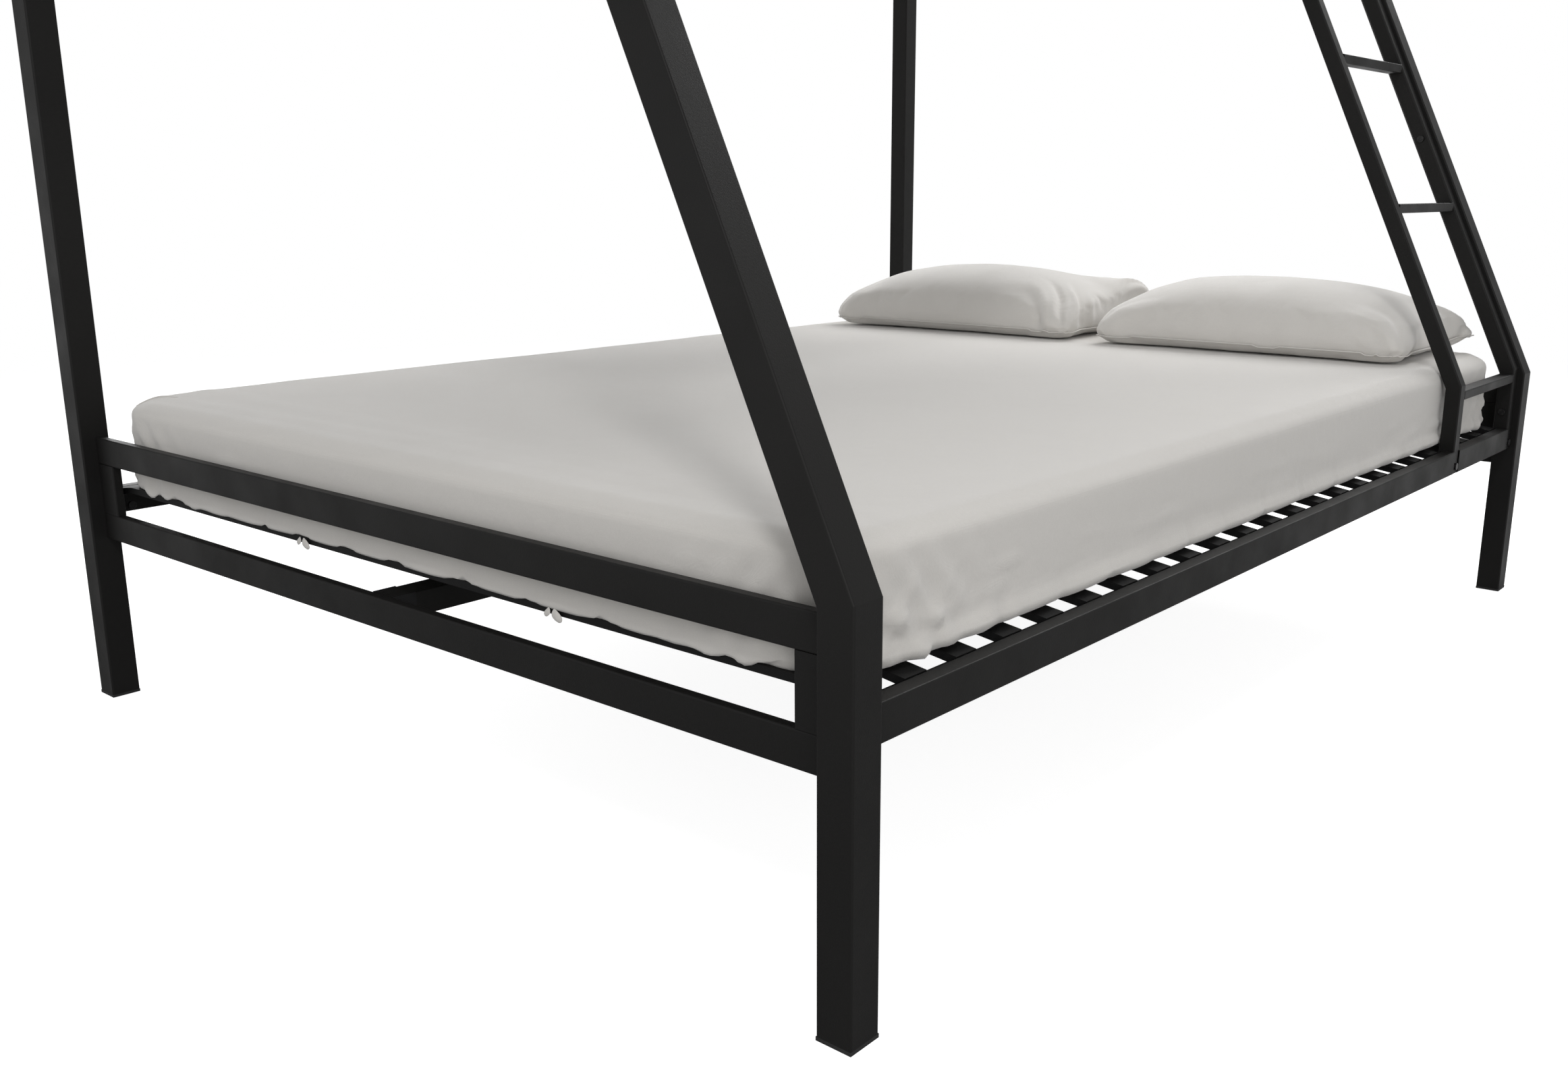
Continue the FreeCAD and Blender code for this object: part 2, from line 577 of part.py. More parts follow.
def make_ladder():
    """Two tubes that follow the lean of the front legs, with rungs and two short rails."""
    face = FRONT + " + bed.stile_set"
    for side, start in (("foot_side", "bed.stile_foot"), ("head_side", STILE_HEAD)):
        name = "ladder_stile_" + side
        front_hole = rod(name + "_front_hole", "(bed.bolt + 2 * bed.play)", "bed.stile_wall + 2",
                         (start + " + bed.stile / 2", face + " - 1", "bed.stile_bolt"), ALONG_Y)
        holes = [front_hole]
        button_bolt(name + "_bolt",
                    (start + " + bed.stile / 2", face, "bed.stile_bolt"), ALONG_Y, AGAINST_Y)
        if side == "head_side":
            holes += ladder_holes(name, LADDER_SPOTS, start + " - 1", "bed.stile + 2")
        stile = leaning_tube(name, start, face, "bed.stile_bend", "bed.stile", "bed.stile_wall",
                             "bed.side_low", GUARD_TOP, holes)
        keep(stile, name)
    length = "%s - bed.stile_foot - bed.stile" % STILE_HEAD
    start = "bed.stile_foot + bed.stile"
    for number in range(RUNGS):
        name = "ladder_rung_%d" % (number + 1)
        if number == 0:
            middle = "bed.rung_first"
            y = face + " + (bed.stile - bed.rung_deep) / 2"
        else:
            middle = "(bed.rung_second + %d * bed.rung_step)" % (number - 1)
            y = "%s + (%s - bed.stile_bend) / bed.slope + (%s * bed.stile - bed.rung_deep) / 2" % (
                face, middle, LEAN)
        keep(tube(name, "x", (length, "bed.rung_deep", "bed.rung_tall"),
                  (start, y, "%s - bed.rung_tall / 2" % middle), "bed.rail_wall", RAIL_ROUND), name)
    for name, front, low in (("ladder_lower_rail", FRONT, "bed.side_low"),
                             ("ladder_upper_rail", UPPER_FRONT, UPPER_SIDE_LOW)):
        keep(tube(name, "x", (length, "bed.side_thick", "bed.rail_tall"),
                  (start, front + " + bed.side_set", low), "bed.rail_wall", RAIL_ROUND), name)
    plug_wide = "bed.stile - 2 * bed.stile_wall - 2 * bed.play"
    plug_in = "bed.stile_wall + bed.play"
    caps = []
    for side, x in (("foot", "bed.stile_foot"), ("head", STILE_HEAD)):
        y = face + " + bed.inset"
        plate = box("stile_plate_" + side, ("bed.stile", "bed.stile", "bed.cap"), (x, y, GUARD_TOP))
        plug = box("stile_plug_" + side, (plug_wide, plug_wide, "bed.plug"),
                   ("%s + %s" % (x, plug_in), "%s + %s" % (y, plug_in),
                    "%s - bed.plug" % GUARD_TOP))
        cap = doc.addObject("Part::MultiFuse", "stile_cap_" + side)
        cap.Shapes = [plate, plug]
        caps.append(cap)
    keep(group("ladder_caps", caps), "ladder_caps")
    for number, (height, part) in enumerate(LADDER_SPOTS):
        at = (STILE_HEAD, stile_middle(height, part), height)
        name = "ladder_post_bolt_%d" % number
        shank = rod(name + "_shank", "bed.bolt", "bed.stile + bed.post_wall + 3", at, ALONG_X)
        head_at = (STILE_HEAD + " - bed.bolt_rise", at[1], at[2])
        head = rod(name + "_head", "bed.bolt_head", "bed.bolt_rise", head_at, ALONG_X)
        item = doc.addObject("Part::MultiFuse", name)
        item.Shapes = [shank, head]
        bolts.append(item)


# ---- bedding ------------------------------------------------------------------------------------

def mattress(name, wide, middle, deck):
    """A foam mattress: a block with round corners in plan and softer edges."""
    block = box(name + "_block", ("bed.bedding_long", wide, "bed.bedding_tall"),
                ("-bed.bedding_long / 2", "%s - %s / 2" % (middle, wide), deck))
    block.recompute()
    rounded = doc.addObject("Part::Fillet", name)
    rounded.Base = block
    edges = []
    for number, edge in enumerate(block.Shape.Edges, 1):
        upright = abs(edge.tangentAt(edge.FirstParameter).z) > 0.99
        radius = MATTRESS_CORNER if upright else MATTRESS_EDGE
        edges.append((number, radius, radius))
    rounded.Edges = edges
    keep(rounded, name)


def pillow(name, start, middle, deck):
    """A plumped pillow: a flattened ball trimmed to the outline of its case.

    The ball reaches past the case all round, so the pillow rests on a flat underside and
    its ends are blunt. Its middle is low, because the filling settles.
    """
    swell = 1.13
    crown = 0.62
    ball = doc.addObject("Part::Ellipsoid", name + "_ball")
    ball.setExpression("Radius1", "bed.pillow_tall * %s" % crown)
    ball.setExpression("Radius2", "bed.pillow_long / 2 * %s" % swell)
    ball.setExpression("Radius3", "bed.pillow_wide / 2 * %s" % swell)
    place(ball, (start + " + bed.pillow_long / 2", middle,
                 "%s + bed.pillow_tall * (1 - %s)" % (deck, crown)))
    case = box(name + "_case", ("bed.pillow_long", "bed.pillow_wide", "bed.pillow_tall"),
               (start, "%s - bed.pillow_wide / 2" % middle, deck))
    trimmed = doc.addObject("Part::Common", name)
    trimmed.Base = ball
    trimmed.Tool = case
    keep(trimmed, name)


def make_bedding():
    """A full mattress with two pillows below, a twin mattress with one above."""
    lower_deck = "(bed.side_low + bed.rail_tall + bed.slat_thick + bed.air)"
    upper_deck = "(%s + bed.storey)" % lower_deck
    lower_top = "(%s + bed.bedding_tall + bed.air)" % lower_deck
    upper_top = "(%s + bed.bedding_tall + bed.air)" % upper_deck
    upper_middle = "(bed.inset / 2)"
    mattress("lower_mattress", "bed.full_wide", "0", lower_deck)
    mattress("upper_mattress", "bed.twin_wide", upper_middle, upper_deck)
    shift = "(bed.pillow_wide + bed.pillow_gap) / 2"
    pillow("lower_pillow_front", "bed.pillow_from", "(-%s)" % shift, lower_top)
    pillow("lower_pillow_rear", "bed.pillow_from", "(%s)" % shift, lower_top)
    pillow("upper_pillow", "(bed.pillow_from - bed.pillow_back)", upper_middle, upper_top)


# ---- build, check and write ---------------------------------------------------------------------

make_legs()
make_upper_posts()
make_caps_and_sleeves()
make_lower_ends()
make_upper_ends()
make_side_rails()
make_guard_stays()
make_ledges()
make_slats()
make_beam()
make_ladder()
make_bedding()
keep(group("rail_spigots", spigots), "rail_spigots")
keep(group("frame_bolts", bolts), "frame_bolts")

doc.recompute()

for item in doc.Objects:
    bad = [state for state in item.State if state in ("Invalid", "Error")]
    if bad:
        raise RuntimeError("%s is %s: %s" % (item.Name, bad, item.getStatusString()))

os.makedirs("parts", exist_ok=True)
for item in pieces:
    shape = item.Shape
    if shape.isNull() or not shape.isValid() or not shape.Solids:
        raise RuntimeError("%s has no good solid" % item.Label)
    shape.exportStep("parts/%s.step" % item.Label)
    bounds = shape.BoundBox
    print("%-28s %3d solids  volume %10.0f  x %7.1f %7.1f  y %7.1f %7.1f  z %7.1f %7.1f" % (
        item.Label, len(shape.Solids), shape.Volume, bounds.XMin, bounds.XMax,
        bounds.YMin, bounds.YMax, bounds.ZMin, bounds.ZMax))
print(len(pieces), "pieces")
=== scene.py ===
# %% [markdown]
# # A steel bunk bed with a ladder
#
# The bed is a frame of black steel tube, with a full bed below and a narrower one above.
# Its front legs and its ladder lean back from the wide bed to the narrow one.
# The steel, plastic and bolts come from the measured model as finished shapes, so here they
# only need their finishes. The bedding is what this script makes: two foam mattresses, each in
# a fitted sheet, and three pillows in their cases.
# Everything is in metres, with the floor at z = 0, the head of the bed towards +x and the
# ladder side towards -y.

import json
import math
from types import SimpleNamespace

import bmesh
import bpy
import numpy as np
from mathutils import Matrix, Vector


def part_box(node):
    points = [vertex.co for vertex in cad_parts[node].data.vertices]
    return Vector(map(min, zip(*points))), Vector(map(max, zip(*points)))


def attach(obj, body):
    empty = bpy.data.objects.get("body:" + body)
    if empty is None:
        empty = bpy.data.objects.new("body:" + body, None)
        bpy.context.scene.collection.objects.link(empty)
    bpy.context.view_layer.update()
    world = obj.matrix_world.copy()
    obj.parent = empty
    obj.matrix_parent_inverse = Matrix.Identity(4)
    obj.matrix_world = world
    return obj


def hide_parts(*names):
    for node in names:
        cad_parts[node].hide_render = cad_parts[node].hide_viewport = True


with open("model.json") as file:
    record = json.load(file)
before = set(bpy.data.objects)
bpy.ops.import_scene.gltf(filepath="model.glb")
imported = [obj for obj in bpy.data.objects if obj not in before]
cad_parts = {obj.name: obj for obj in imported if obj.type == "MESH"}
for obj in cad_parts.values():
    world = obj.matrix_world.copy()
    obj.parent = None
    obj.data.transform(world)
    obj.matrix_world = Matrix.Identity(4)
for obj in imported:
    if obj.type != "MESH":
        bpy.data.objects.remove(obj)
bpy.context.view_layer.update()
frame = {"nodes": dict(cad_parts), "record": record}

# %% [markdown]
# ## The place to look from
#
# A camera can be aimed by turning it by hand or by giving it a direction.
# A direction is easier to reason about: the camera stands off the front corner at the foot
# end, as high as the eyes of a person who sits on the floor, and looks across the bed and a
# little down.
# A small lens shift slides the picture without turning the camera, so upright posts stay true.

# %% Camera
EYE = Vector((-1.8446, -1.4022, 0.7309))
TURN = 0.70097           # radians from the +x axis towards +y
DIP = -0.24988           # radians below the horizon
FOCAL_LENGTH = 32.72     # millimetres on a 36 mm wide sensor

camera_data = bpy.data.cameras.new("eye")
camera_data.sensor_width = 36.0
camera_data.lens = FOCAL_LENGTH
camera_data.shift_x = -0.0198
camera_data.shift_y = 0.0114
camera = bpy.data.objects.new("eye", camera_data)
bpy.context.scene.collection.objects.link(camera)
gaze = Vector((math.cos(DIP) * math.cos(TURN), math.cos(DIP) * math.sin(TURN), math.sin(DIP)))
camera.location = EYE
camera.rotation_mode = "QUATERNION"
camera.rotation_quaternion = gaze.to_track_quat("-Z", "Y")
bpy.context.scene.camera = camera
print("the camera stands", round(EYE.length, 2), "m from the middle of the bed")

# %% [markdown]
# ## Putting a surface into a mesh
#
# Blender can build shapes with tools that a person would click, or from plain numbers.
# Here each shape is a grid of points worked out as whole arrays, because then its formula
# says exactly what it is. The grid has rows and columns. Neighbouring points make four-sided
# faces, and a grid that goes round something is closed by joining its last column to its first.

# %% Grid to mesh
def grid_faces(rows, columns, round_it):
    """Corner numbers of the faces between neighbouring rows and columns of a grid.

    Point (row, column) has the number row * columns + column.
    """
    row = np.arange(rows - 1)[:, None]
    column = np.arange(columns if round_it else columns - 1)[None, :]
    after = (column + 1) % columns
    corners = [row * columns + column, row * columns + after,
               (row + 1) * columns + after, (row + 1) * columns + column]
    every = [np.broadcast_to(corner, (rows - 1, column.size)) for corner in corners]
    return np.stack(every, -1).reshape(-1, 4)


def make_piece(name, points, faces, merge=0.0):
    """A mesh object from an array of points and an array of four-sided faces."""
    mesh = bpy.data.meshes.new(name)
    mesh.from_pydata(points.reshape(-1, 3), [], faces)
    mesh.update()
    piece = bpy.data.objects.new(name, mesh)
    bpy.context.scene.collection.objects.link(piece)
    if merge:
        join_doubles(mesh, merge)
    mesh.polygons.foreach_set("use_smooth", np.ones(len(mesh.polygons), bool))
    return piece


def join_doubles(mesh, distance):
    """Joins points that lie on each other and drops the faces that this leaves flat."""
    work = bmesh.new()
    work.from_mesh(mesh)
    bmesh.ops.remove_doubles(work, verts=work.verts, dist=distance)
    bmesh.ops.dissolve_degenerate(work, edges=work.edges, dist=distance / 10)
    bmesh.ops.recalc_face_normals(work, faces=work.faces)
    work.to_mesh(mesh)
    work.free()
    mesh.update()

# %% [markdown]
# ## Cloth is never quite smooth
#
# Real fabric rises and falls by a millimetre or so even where it is pulled tight.
# Random numbers on their own look like gravel, so they are put on a coarse grid and blended
# smoothly in between. The same seed always gives the same cloth.

# %% Soft unevenness
LATTICE = 64             # squares before the random values repeat
LATTICE_START = (17.3, 29.1)    # keeps the lines of the lattice off the middle of the bed


def ease(t):
    """0 below 0, 1 above 1, and a smooth step between."""
    t = np.clip(t, 0, 1)
    return t * t * (3 - 2 * t)


def unevenness(x, y, size, seed):
    """Smooth random heights from -1 to 1: random values on a square lattice of the given size,
    blended between the four nearest with an ease curve (3t^2 - 2t^3)."""
    lattice = np.random.default_rng(seed).uniform(-1, 1, (LATTICE, LATTICE))
    across, up = x / size + LATTICE_START[0], y / size + LATTICE_START[1]
    column, row = np.floor(across).astype(int), np.floor(up).astype(int)
    share_across, share_up = ease(across - column), ease(up - row)
    next_column, next_row = (column + 1) % LATTICE, (row + 1) % LATTICE
    column, row = column % LATTICE, row % LATTICE
    lower = lattice[row, column] * (1 - share_across) + lattice[row, next_column] * share_across
    upper = (lattice[next_row, column] * (1 - share_across)
             + lattice[next_row, next_column] * share_across)
    return lower * (1 - share_up) + upper * share_up


def bell(t):
    """A smooth hump: 1 at 0, falling to nothing by about 2 either way."""
    return np.exp(-t * t)


waves = unevenness(np.linspace(0, 1, 200), np.zeros(200), 0.1, 1)
print("unevenness over a metre runs from", round(waves.min(), 2), "to", round(waves.max(), 2))

# %% [markdown]
# ## The outline of a mattress
#
# Seen from above a mattress is a rectangle with round corners. Every line round it, from the
# hem underneath to the middle of the top, has that shape at some size, so one formula serves
# them all. Each point is told which corner centre it belongs to and which way it faces from it.

# %% Rounded outline
CORNERS = ((1, 1), (-1, 1), (-1, -1), (1, -1))      # signs of x and y, once round the bed


def outline_walk(long_steps, short_steps, corner_steps):
    """Once round a rounded rectangle: for each point how far along x and y its centre lies
    (-1 to 1) and the angle it faces. On a straight side the centre slides, at a corner it
    stays and the angle turns by a quarter."""
    slide_long = np.linspace(-1, 1, long_steps, endpoint=False)
    slide_short = np.linspace(-1, 1, short_steps, endpoint=False)
    swing = np.linspace(0, math.pi / 2, corner_steps, endpoint=False)
    centre_x, centre_y, facing = [], [], []
    for side, (corner_x, corner_y) in enumerate(CORNERS):
        sign = 1 if side < 2 else -1
        if side % 2 == 0:
            along = slide_short
            centre_x.append(np.full(along.size, sign))
            centre_y.append(along * sign)
        else:
            along = slide_long
            centre_x.append(-along * sign)
            centre_y.append(np.full(along.size, sign))
        facing.append(np.full(along.size, side * math.pi / 2))
        centre_x.append(np.full(swing.size, corner_x))
        centre_y.append(np.full(swing.size, corner_y))
        facing.append(side * math.pi / 2 + swing)
    return np.concatenate(centre_x), np.concatenate(centre_y), np.concatenate(facing)


def rings(walk, half_long, half_wide, corner, inset):
    """x and y of each ring: the outline drawn inset from the edge by the given distances.

    The corner shrinks in step with the ring, so the last ring closes to a line."""
    centre_x, centre_y, facing = walk
    inset = inset[:, None]
    radius = corner * (1 - inset / half_wide)
    x = centre_x * (half_long - inset - radius) + radius * np.cos(facing)
    y = centre_y * (half_wide - inset - radius) + radius * np.sin(facing)
    return x, y


print("a walk round a coarse outline has", outline_walk(8, 4, 3)[2].size, "points")

# %% [markdown]
# ## Finishes
#
# All the colours are worked out by nodes instead of pictures, so they stay sharp at any size.
# A finish is a Principled shader with three things fed into it: a colour that drifts a little,
# a roughness that drifts a little, and a bump for the fine grain. A helper adds a node and
# joins its inputs, which keeps each finish down to a few readable lines.

# %% Node helpers
def new_finish(name):
    """An empty material with a Principled shader, ready for its nodes."""
    finish = bpy.data.materials.new(name)
    finish.use_nodes = True
    return finish, finish.node_tree, finish.node_tree.nodes["Principled BSDF"]


def add_node(tree, kind, settings=None, **inputs):
    """A node with its settings and inputs. An input is a number, a colour or a node's output.
    Underscores in an input's name stand for spaces, and _2 means the input numbered 2."""
    node = tree.nodes.new(kind)
    for key, value in (settings or {}).items():
        setattr(node, key, value)
    for key, value in inputs.items():
        socket = node.inputs[int(key[1:])] if key[0] == "_" else node.inputs[key.replace("_", " ")]
        if isinstance(value, bpy.types.NodeSocket):
            tree.links.new(value, socket)
        else:
            socket.default_value = value
    return node


def place_on_piece(tree):
    """The point on the piece, in metres, whichever way the piece is seen."""
    return tree.nodes.new("ShaderNodeTexCoord").outputs["Object"]


def drift(tree, where, size, low, high, detail=3.0):
    """A slow random change between two values, over patches of about the given size."""
    clouds = add_node(tree, "ShaderNodeTexNoise", Vector=where, Scale=1 / size, Detail=detail)
    span = add_node(tree, "ShaderNodeMapRange", Value=clouds.outputs["Fac"], From_Min=0.3,
                    From_Max=0.7, To_Min=low, To_Max=high)
    return span.outputs["Result"]


def blend_colours(tree, factor, first, second):
    """A colour between two others. Inputs 6 and 7 and output 2 are the mix node's colours."""
    mix = add_node(tree, "ShaderNodeMix", {"data_type": "RGBA"}, _0=factor,
                   _6=(*first, 1.0), _7=(*second, 1.0))
    return mix.outputs[2]


def add_bump(tree, shader, height, depth, under=None):
    """Feeds a height into the shader as fine relief. depth is in metres."""
    bump = add_node(tree, "ShaderNodeBump", Height=height, Strength=1.0, Distance=depth)
    if under is not None:
        tree.links.new(under, bump.inputs["Normal"])
    tree.links.new(bump.outputs["Normal"], shader.inputs["Normal"])
    return bump.outputs["Normal"]

# %% [markdown]
# ## Powder coat
#
# The tubes are powder coated: dry paint powder is blown on and melted in an oven.
# That leaves a satin black skin with a very fine ripple, like orange peel, and the shine
# changes a little where hands and cloths have rubbed it. The ripple is about 1.5 mm across,
# so it only shows close to.

# %% Powder-coated steel
def powder_coat(name, light, dark, shine_low, shine_high, ripple):
    """Satin paint: two close tones in slow patches, rubbed areas, and an orange-peel bump."""
    finish, tree, shader = new_finish(name)
    where = place_on_piece(tree)
    patches = drift(tree, where, 0.30, 0.0, 1.0)
    tree.links.new(blend_colours(tree, patches, dark, light), shader.inputs["Base Color"])
    rubbed = drift(tree, where, 0.07, shine_low, shine_high, detail=5.0)
    tree.links.new(rubbed, shader.inputs["Roughness"])
    peel = add_node(tree, "ShaderNodeTexNoise", Vector=where, Scale=650.0, Detail=2.0)
    add_bump(tree, shader, peel.outputs["Fac"], ripple)
    shader.inputs["IOR"].default_value = 1.5
    shader.inputs["Specular IOR Level"].default_value = 0.17
    return finish


black_steel = powder_coat("black_powder_coat", (0.0112, 0.0108, 0.0103), (0.0082, 0.0079, 0.0076),
                          0.42, 0.56, 0.00010)
slat_steel = powder_coat("slat_powder_coat", (0.0080, 0.0080, 0.0080), (0.0050, 0.0050, 0.0052),
                         0.52, 0.66, 0.00010)
inner_steel = powder_coat("inner_steel_coat", (0.0160, 0.0160, 0.0165),
                          (0.0110, 0.0110, 0.0115), 0.45, 0.60, 0.00012)
print("steel finishes:", black_steel.name, slat_steel.name, inner_steel.name)

# %% [markdown]
# ## Bolts and caps
#
# The bolts have a black oxide skin, which is thin, so bare steel shows through in places and
# the heads carry fine turning marks. The caps are moulded plastic with a faint spark-eroded
# grain, duller than the paint beside them.

# %% Black oxide and moulded plastic
def black_oxide():
    """Thin dark oxide on turned steel: dark with worn specks and rings from the lathe."""
    finish, tree, shader = new_finish("black_oxide")
    where = place_on_piece(tree)
    worn = drift(tree, where, 0.004, 0.0, 0.6, detail=6.0)
    tree.links.new(blend_colours(tree, worn, (0.012, 0.012, 0.013), (0.055, 0.054, 0.052)),
                   shader.inputs["Base Color"])
    tree.links.new(drift(tree, where, 0.003, 0.28, 0.48), shader.inputs["Roughness"])
    shader.inputs["Metallic"].default_value = 0.7
    turning = add_node(tree, "ShaderNodeTexNoise", Vector=where, Scale=2200.0, Detail=1.0)
    add_bump(tree, shader, turning.outputs["Fac"], 0.00006)
    return finish


def moulded_plastic():
    """Dull black plastic with a fine moulded grain and faint scuffs."""
    finish, tree, shader = new_finish("moulded_plastic")
    where = place_on_piece(tree)
    scuffs = drift(tree, where, 0.012, 0.0, 1.0, detail=6.0)
    tree.links.new(blend_colours(tree, scuffs, (0.010, 0.010, 0.010), (0.020, 0.020, 0.020)),
                   shader.inputs["Base Color"])
    tree.links.new(drift(tree, where, 0.02, 0.55, 0.72), shader.inputs["Roughness"])
    grain = add_node(tree, "ShaderNodeTexVoronoi", Vector=where, Scale=1400.0)
    add_bump(tree, shader, grain.outputs["Distance"], 0.00008)
    return finish


bolt_finish = black_oxide()
cap_finish = moulded_plastic()
print("small parts' finishes:", bolt_finish.name, cap_finish.name)

# %% [markdown]
# Every steel and plastic part already carries the name of its finish in the record of the
# model, so one loop dresses the whole frame. A part's shape is left exactly as it was measured.

# %% Dress the frame
hard_finishes = {"black_steel": black_steel, "slat_steel": slat_steel, "inner_steel": inner_steel,
                 "bolt_steel": bolt_finish, "black_plastic": cap_finish}
dressed = 0
for part in frame["record"]["subparts"]:
    finish = hard_finishes.get(part["material_slot"])
    if finish is not None:
        mesh = frame["nodes"][part["node"]].data
        mesh.materials.clear()
        mesh.materials.append(finish)
        dressed += 1
print(dressed, "steel and plastic parts have their finish")

# %% [markdown]
# ## Cotton
#
# The sheets and pillowcases are plain woven cotton in a warm pale grey.
# A weave is two sets of threads crossing. Three sets of fine bands, one across each axis,
# give two crossing sets on every side of a block, so no unwrapping is needed.
# A little sheen stands for the fuzz that catches light at a glancing angle, and slow
# patches of tone stand for the way that washed cotton never dries quite even.

# %% Woven cotton
BAND_SCALE = 0.314       # a wave texture of scale 1 repeats every 0.314 m (pi / 10)
THREAD_RELIEF = 0.00005  # how far a thread stands up
FINE_PITCH = 0.0006      # from thread to thread in the sheets and pillowcases
COARSE_PITCH = 0.0022    # and in the mattress cover


def woven_cotton(name, pale, shade, pitch, crease):
    """Plain weave: bands across x, y and z, with broken threads, fuzz and soft creases."""
    finish, tree, shader = new_finish(name)
    where = place_on_piece(tree)
    patches = drift(tree, where, 0.45, 0.0, 1.0, detail=1.0)
    slubs = add_node(tree, "ShaderNodeTexNoise", Vector=where, Scale=900.0, Detail=2.0)
    tone = blend_colours(tree, patches, shade, pale)
    thread_tone = add_node(tree, "ShaderNodeMapRange", Value=slubs.outputs["Fac"], To_Min=0.93,
                           To_Max=1.05)
    toned = add_node(tree, "ShaderNodeVectorMath", {"operation": "SCALE"}, _0=tone,
                     Scale=thread_tone.outputs[0])
    tree.links.new(toned.outputs[0], shader.inputs["Base Color"])
    tree.links.new(drift(tree, where, 0.05, 0.80, 0.92), shader.inputs["Roughness"])
    bands = None
    for axis in ("X", "Y", "Z"):
        wave = add_node(tree, "ShaderNodeTexWave", {"bands_direction": axis}, Vector=where,
                        Scale=BAND_SCALE / pitch, Distortion=0.6, Detail=1.0, Detail_Scale=3.0)
        if bands is None:
            bands = wave.outputs["Fac"]
        else:
            bands = add_node(tree, "ShaderNodeMath", {"operation": "ADD"}, _0=bands,
                             _1=wave.outputs["Fac"]).outputs[0]
    rumple = add_node(tree, "ShaderNodeTexNoise", Vector=where, Scale=38.0, Detail=5.0,
                      Roughness=0.55)
    soft = add_bump(tree, shader, rumple.outputs["Fac"], crease)
    add_bump(tree, shader, bands, THREAD_RELIEF, under=soft)
    shader.inputs["Sheen Weight"].default_value = 0.40
    shader.inputs["Sheen Roughness"].default_value = 0.5
    shader.inputs["Specular IOR Level"].default_value = 0.25
    return finish


sheet_cotton = woven_cotton("sheet_cotton", (0.600, 0.580, 0.550), (0.590, 0.570, 0.540),
                            FINE_PITCH, 0.0008)
case_cotton = woven_cotton("pillowcase_cotton", (0.640, 0.620, 0.590), (0.630, 0.610, 0.580),
                           FINE_PITCH, 0.0008)
ticking = woven_cotton("mattress_ticking", (0.62, 0.62, 0.61), (0.56, 0.56, 0.55),
                       COARSE_PITCH, 0.0010)
print("cloth finishes:", sheet_cotton.name, case_cotton.name, ticking.name)

# %% [markdown]
# ## The foam mattress
#
# The mattress is a block of foam in a knitted cover. Its sides swell a little, its underside
# is quilted, and a thin roll of piping runs round its lower edge. It hides under the sheet,
# but it shows from below, between the slats.
# One profile, from the middle of the underside to the middle of the top, is carried round the
# rounded outline.

# %% Mattress
UNDER_SHEET = 0.0040     # the sides of the foam stay this far inside the sheet's
UNDER_TOP = 0.0075       # and its top stays this far below the sheet's
FOAM_EDGE = 0.036        # radius of its upper and lower edges
FOAM_CORNER = 0.105      # plan radius of its corners
FOAM_SWELL = 0.0012      # how far its sides swell
PIPING = 0.0018          # how far the piping stands out
QUILT_PITCH = 0.12       # from one quilted hollow to the next
FLAT_RINGS = 39          # rings across the underside, and again across the top
TURN_RINGS = 9           # rings round each edge


def mattress(name, node):
    """The profile gives each ring an inset and a height: a quilted underside, round edges, a
    side that swells outwards, and a flat top."""
    low, high = (np.array(v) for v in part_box(node))
    half_long = (high[0] - low[0]) / 2 - UNDER_SHEET
    half_wide = (high[1] - low[1]) / 2 - UNDER_SHEET
    bottom, top = low[2] + 0.0012, high[2] - UNDER_TOP
    turn = np.linspace(0, math.pi / 2, TURN_RINGS)
    up = np.linspace(0, 1, 12)[1:-1]
    inwards = np.linspace(FOAM_EDGE, half_wide, FLAT_RINGS + 1)[1:]
    inset = np.concatenate([inwards[::-1], FOAM_EDGE * (1 - np.sin(turn)),
                            -FOAM_SWELL * np.sin(math.pi * up), FOAM_EDGE * (1 - np.cos(turn)),
                            inwards])
    height = np.concatenate([np.full(FLAT_RINGS, bottom), bottom + FOAM_EDGE * (1 - np.cos(turn)),
                             bottom + FOAM_EDGE + (top - bottom - 2 * FOAM_EDGE) * up,
                             top - FOAM_EDGE * (1 - np.sin(turn)), np.full(FLAT_RINGS, top)])
    piping = np.zeros_like(inset)
    piping[FLAT_RINGS:FLAT_RINGS + TURN_RINGS] = PIPING * bell((np.arange(TURN_RINGS) - 5) / 1.2)
    x, y = rings(outline_walk(150, 104, 16), half_long, half_wide, FOAM_CORNER, inset - piping)
    hollows = np.cos(x * 2 * math.pi / QUILT_PITCH) * np.cos(y * 2 * math.pi / QUILT_PITCH)
    on_underside = (np.arange(inset.size) < FLAT_RINGS)[:, None]
    z = height[:, None] + np.where(on_underside, 0.0008 + 0.0008 * hollows, 0)
    points = np.stack([x + (low[0] + high[0]) / 2, y + (low[1] + high[1]) / 2, z], -1)
    piece = make_piece(name, points, grid_faces(*x.shape, True), merge=0.0002)
    piece.data.materials.append(ticking)
    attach(piece, node)
    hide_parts(node)
    print(name, len(piece.data.polygons), "faces")
    return piece


lower_foam = mattress("lower_foam", "lower_mattress")
upper_foam = mattress("upper_foam", "upper_mattress")

# %% [markdown]
# ## The fitted sheet
#
# A fitted sheet is one flat piece of cotton with a square cut out of each corner. The cut
# edges are sewn together, which makes a box, and elastic in the hem draws it in under the
# mattress. It could be simulated, but a stretched sheet hardly moves: what shows is the way
# it is cut and pulled. So it is the same outline carried along a profile, with the pull put
# in as small heights, each with its own reason:
#
# - the top rises and falls a little, and keeps two soft folds beside each end,
# - the sides hang in leaning folds that are deepest near the hem and towards the foot,
# - the corners have short slanting folds, because the sewn corner pulls from both sides, and
#   sharper creases beside them on the long sides,
# - the hem is drawn in by its elastic, so the lower edge is a row of small swells with fine
#   puckers between them, which puff out a little over the slats.

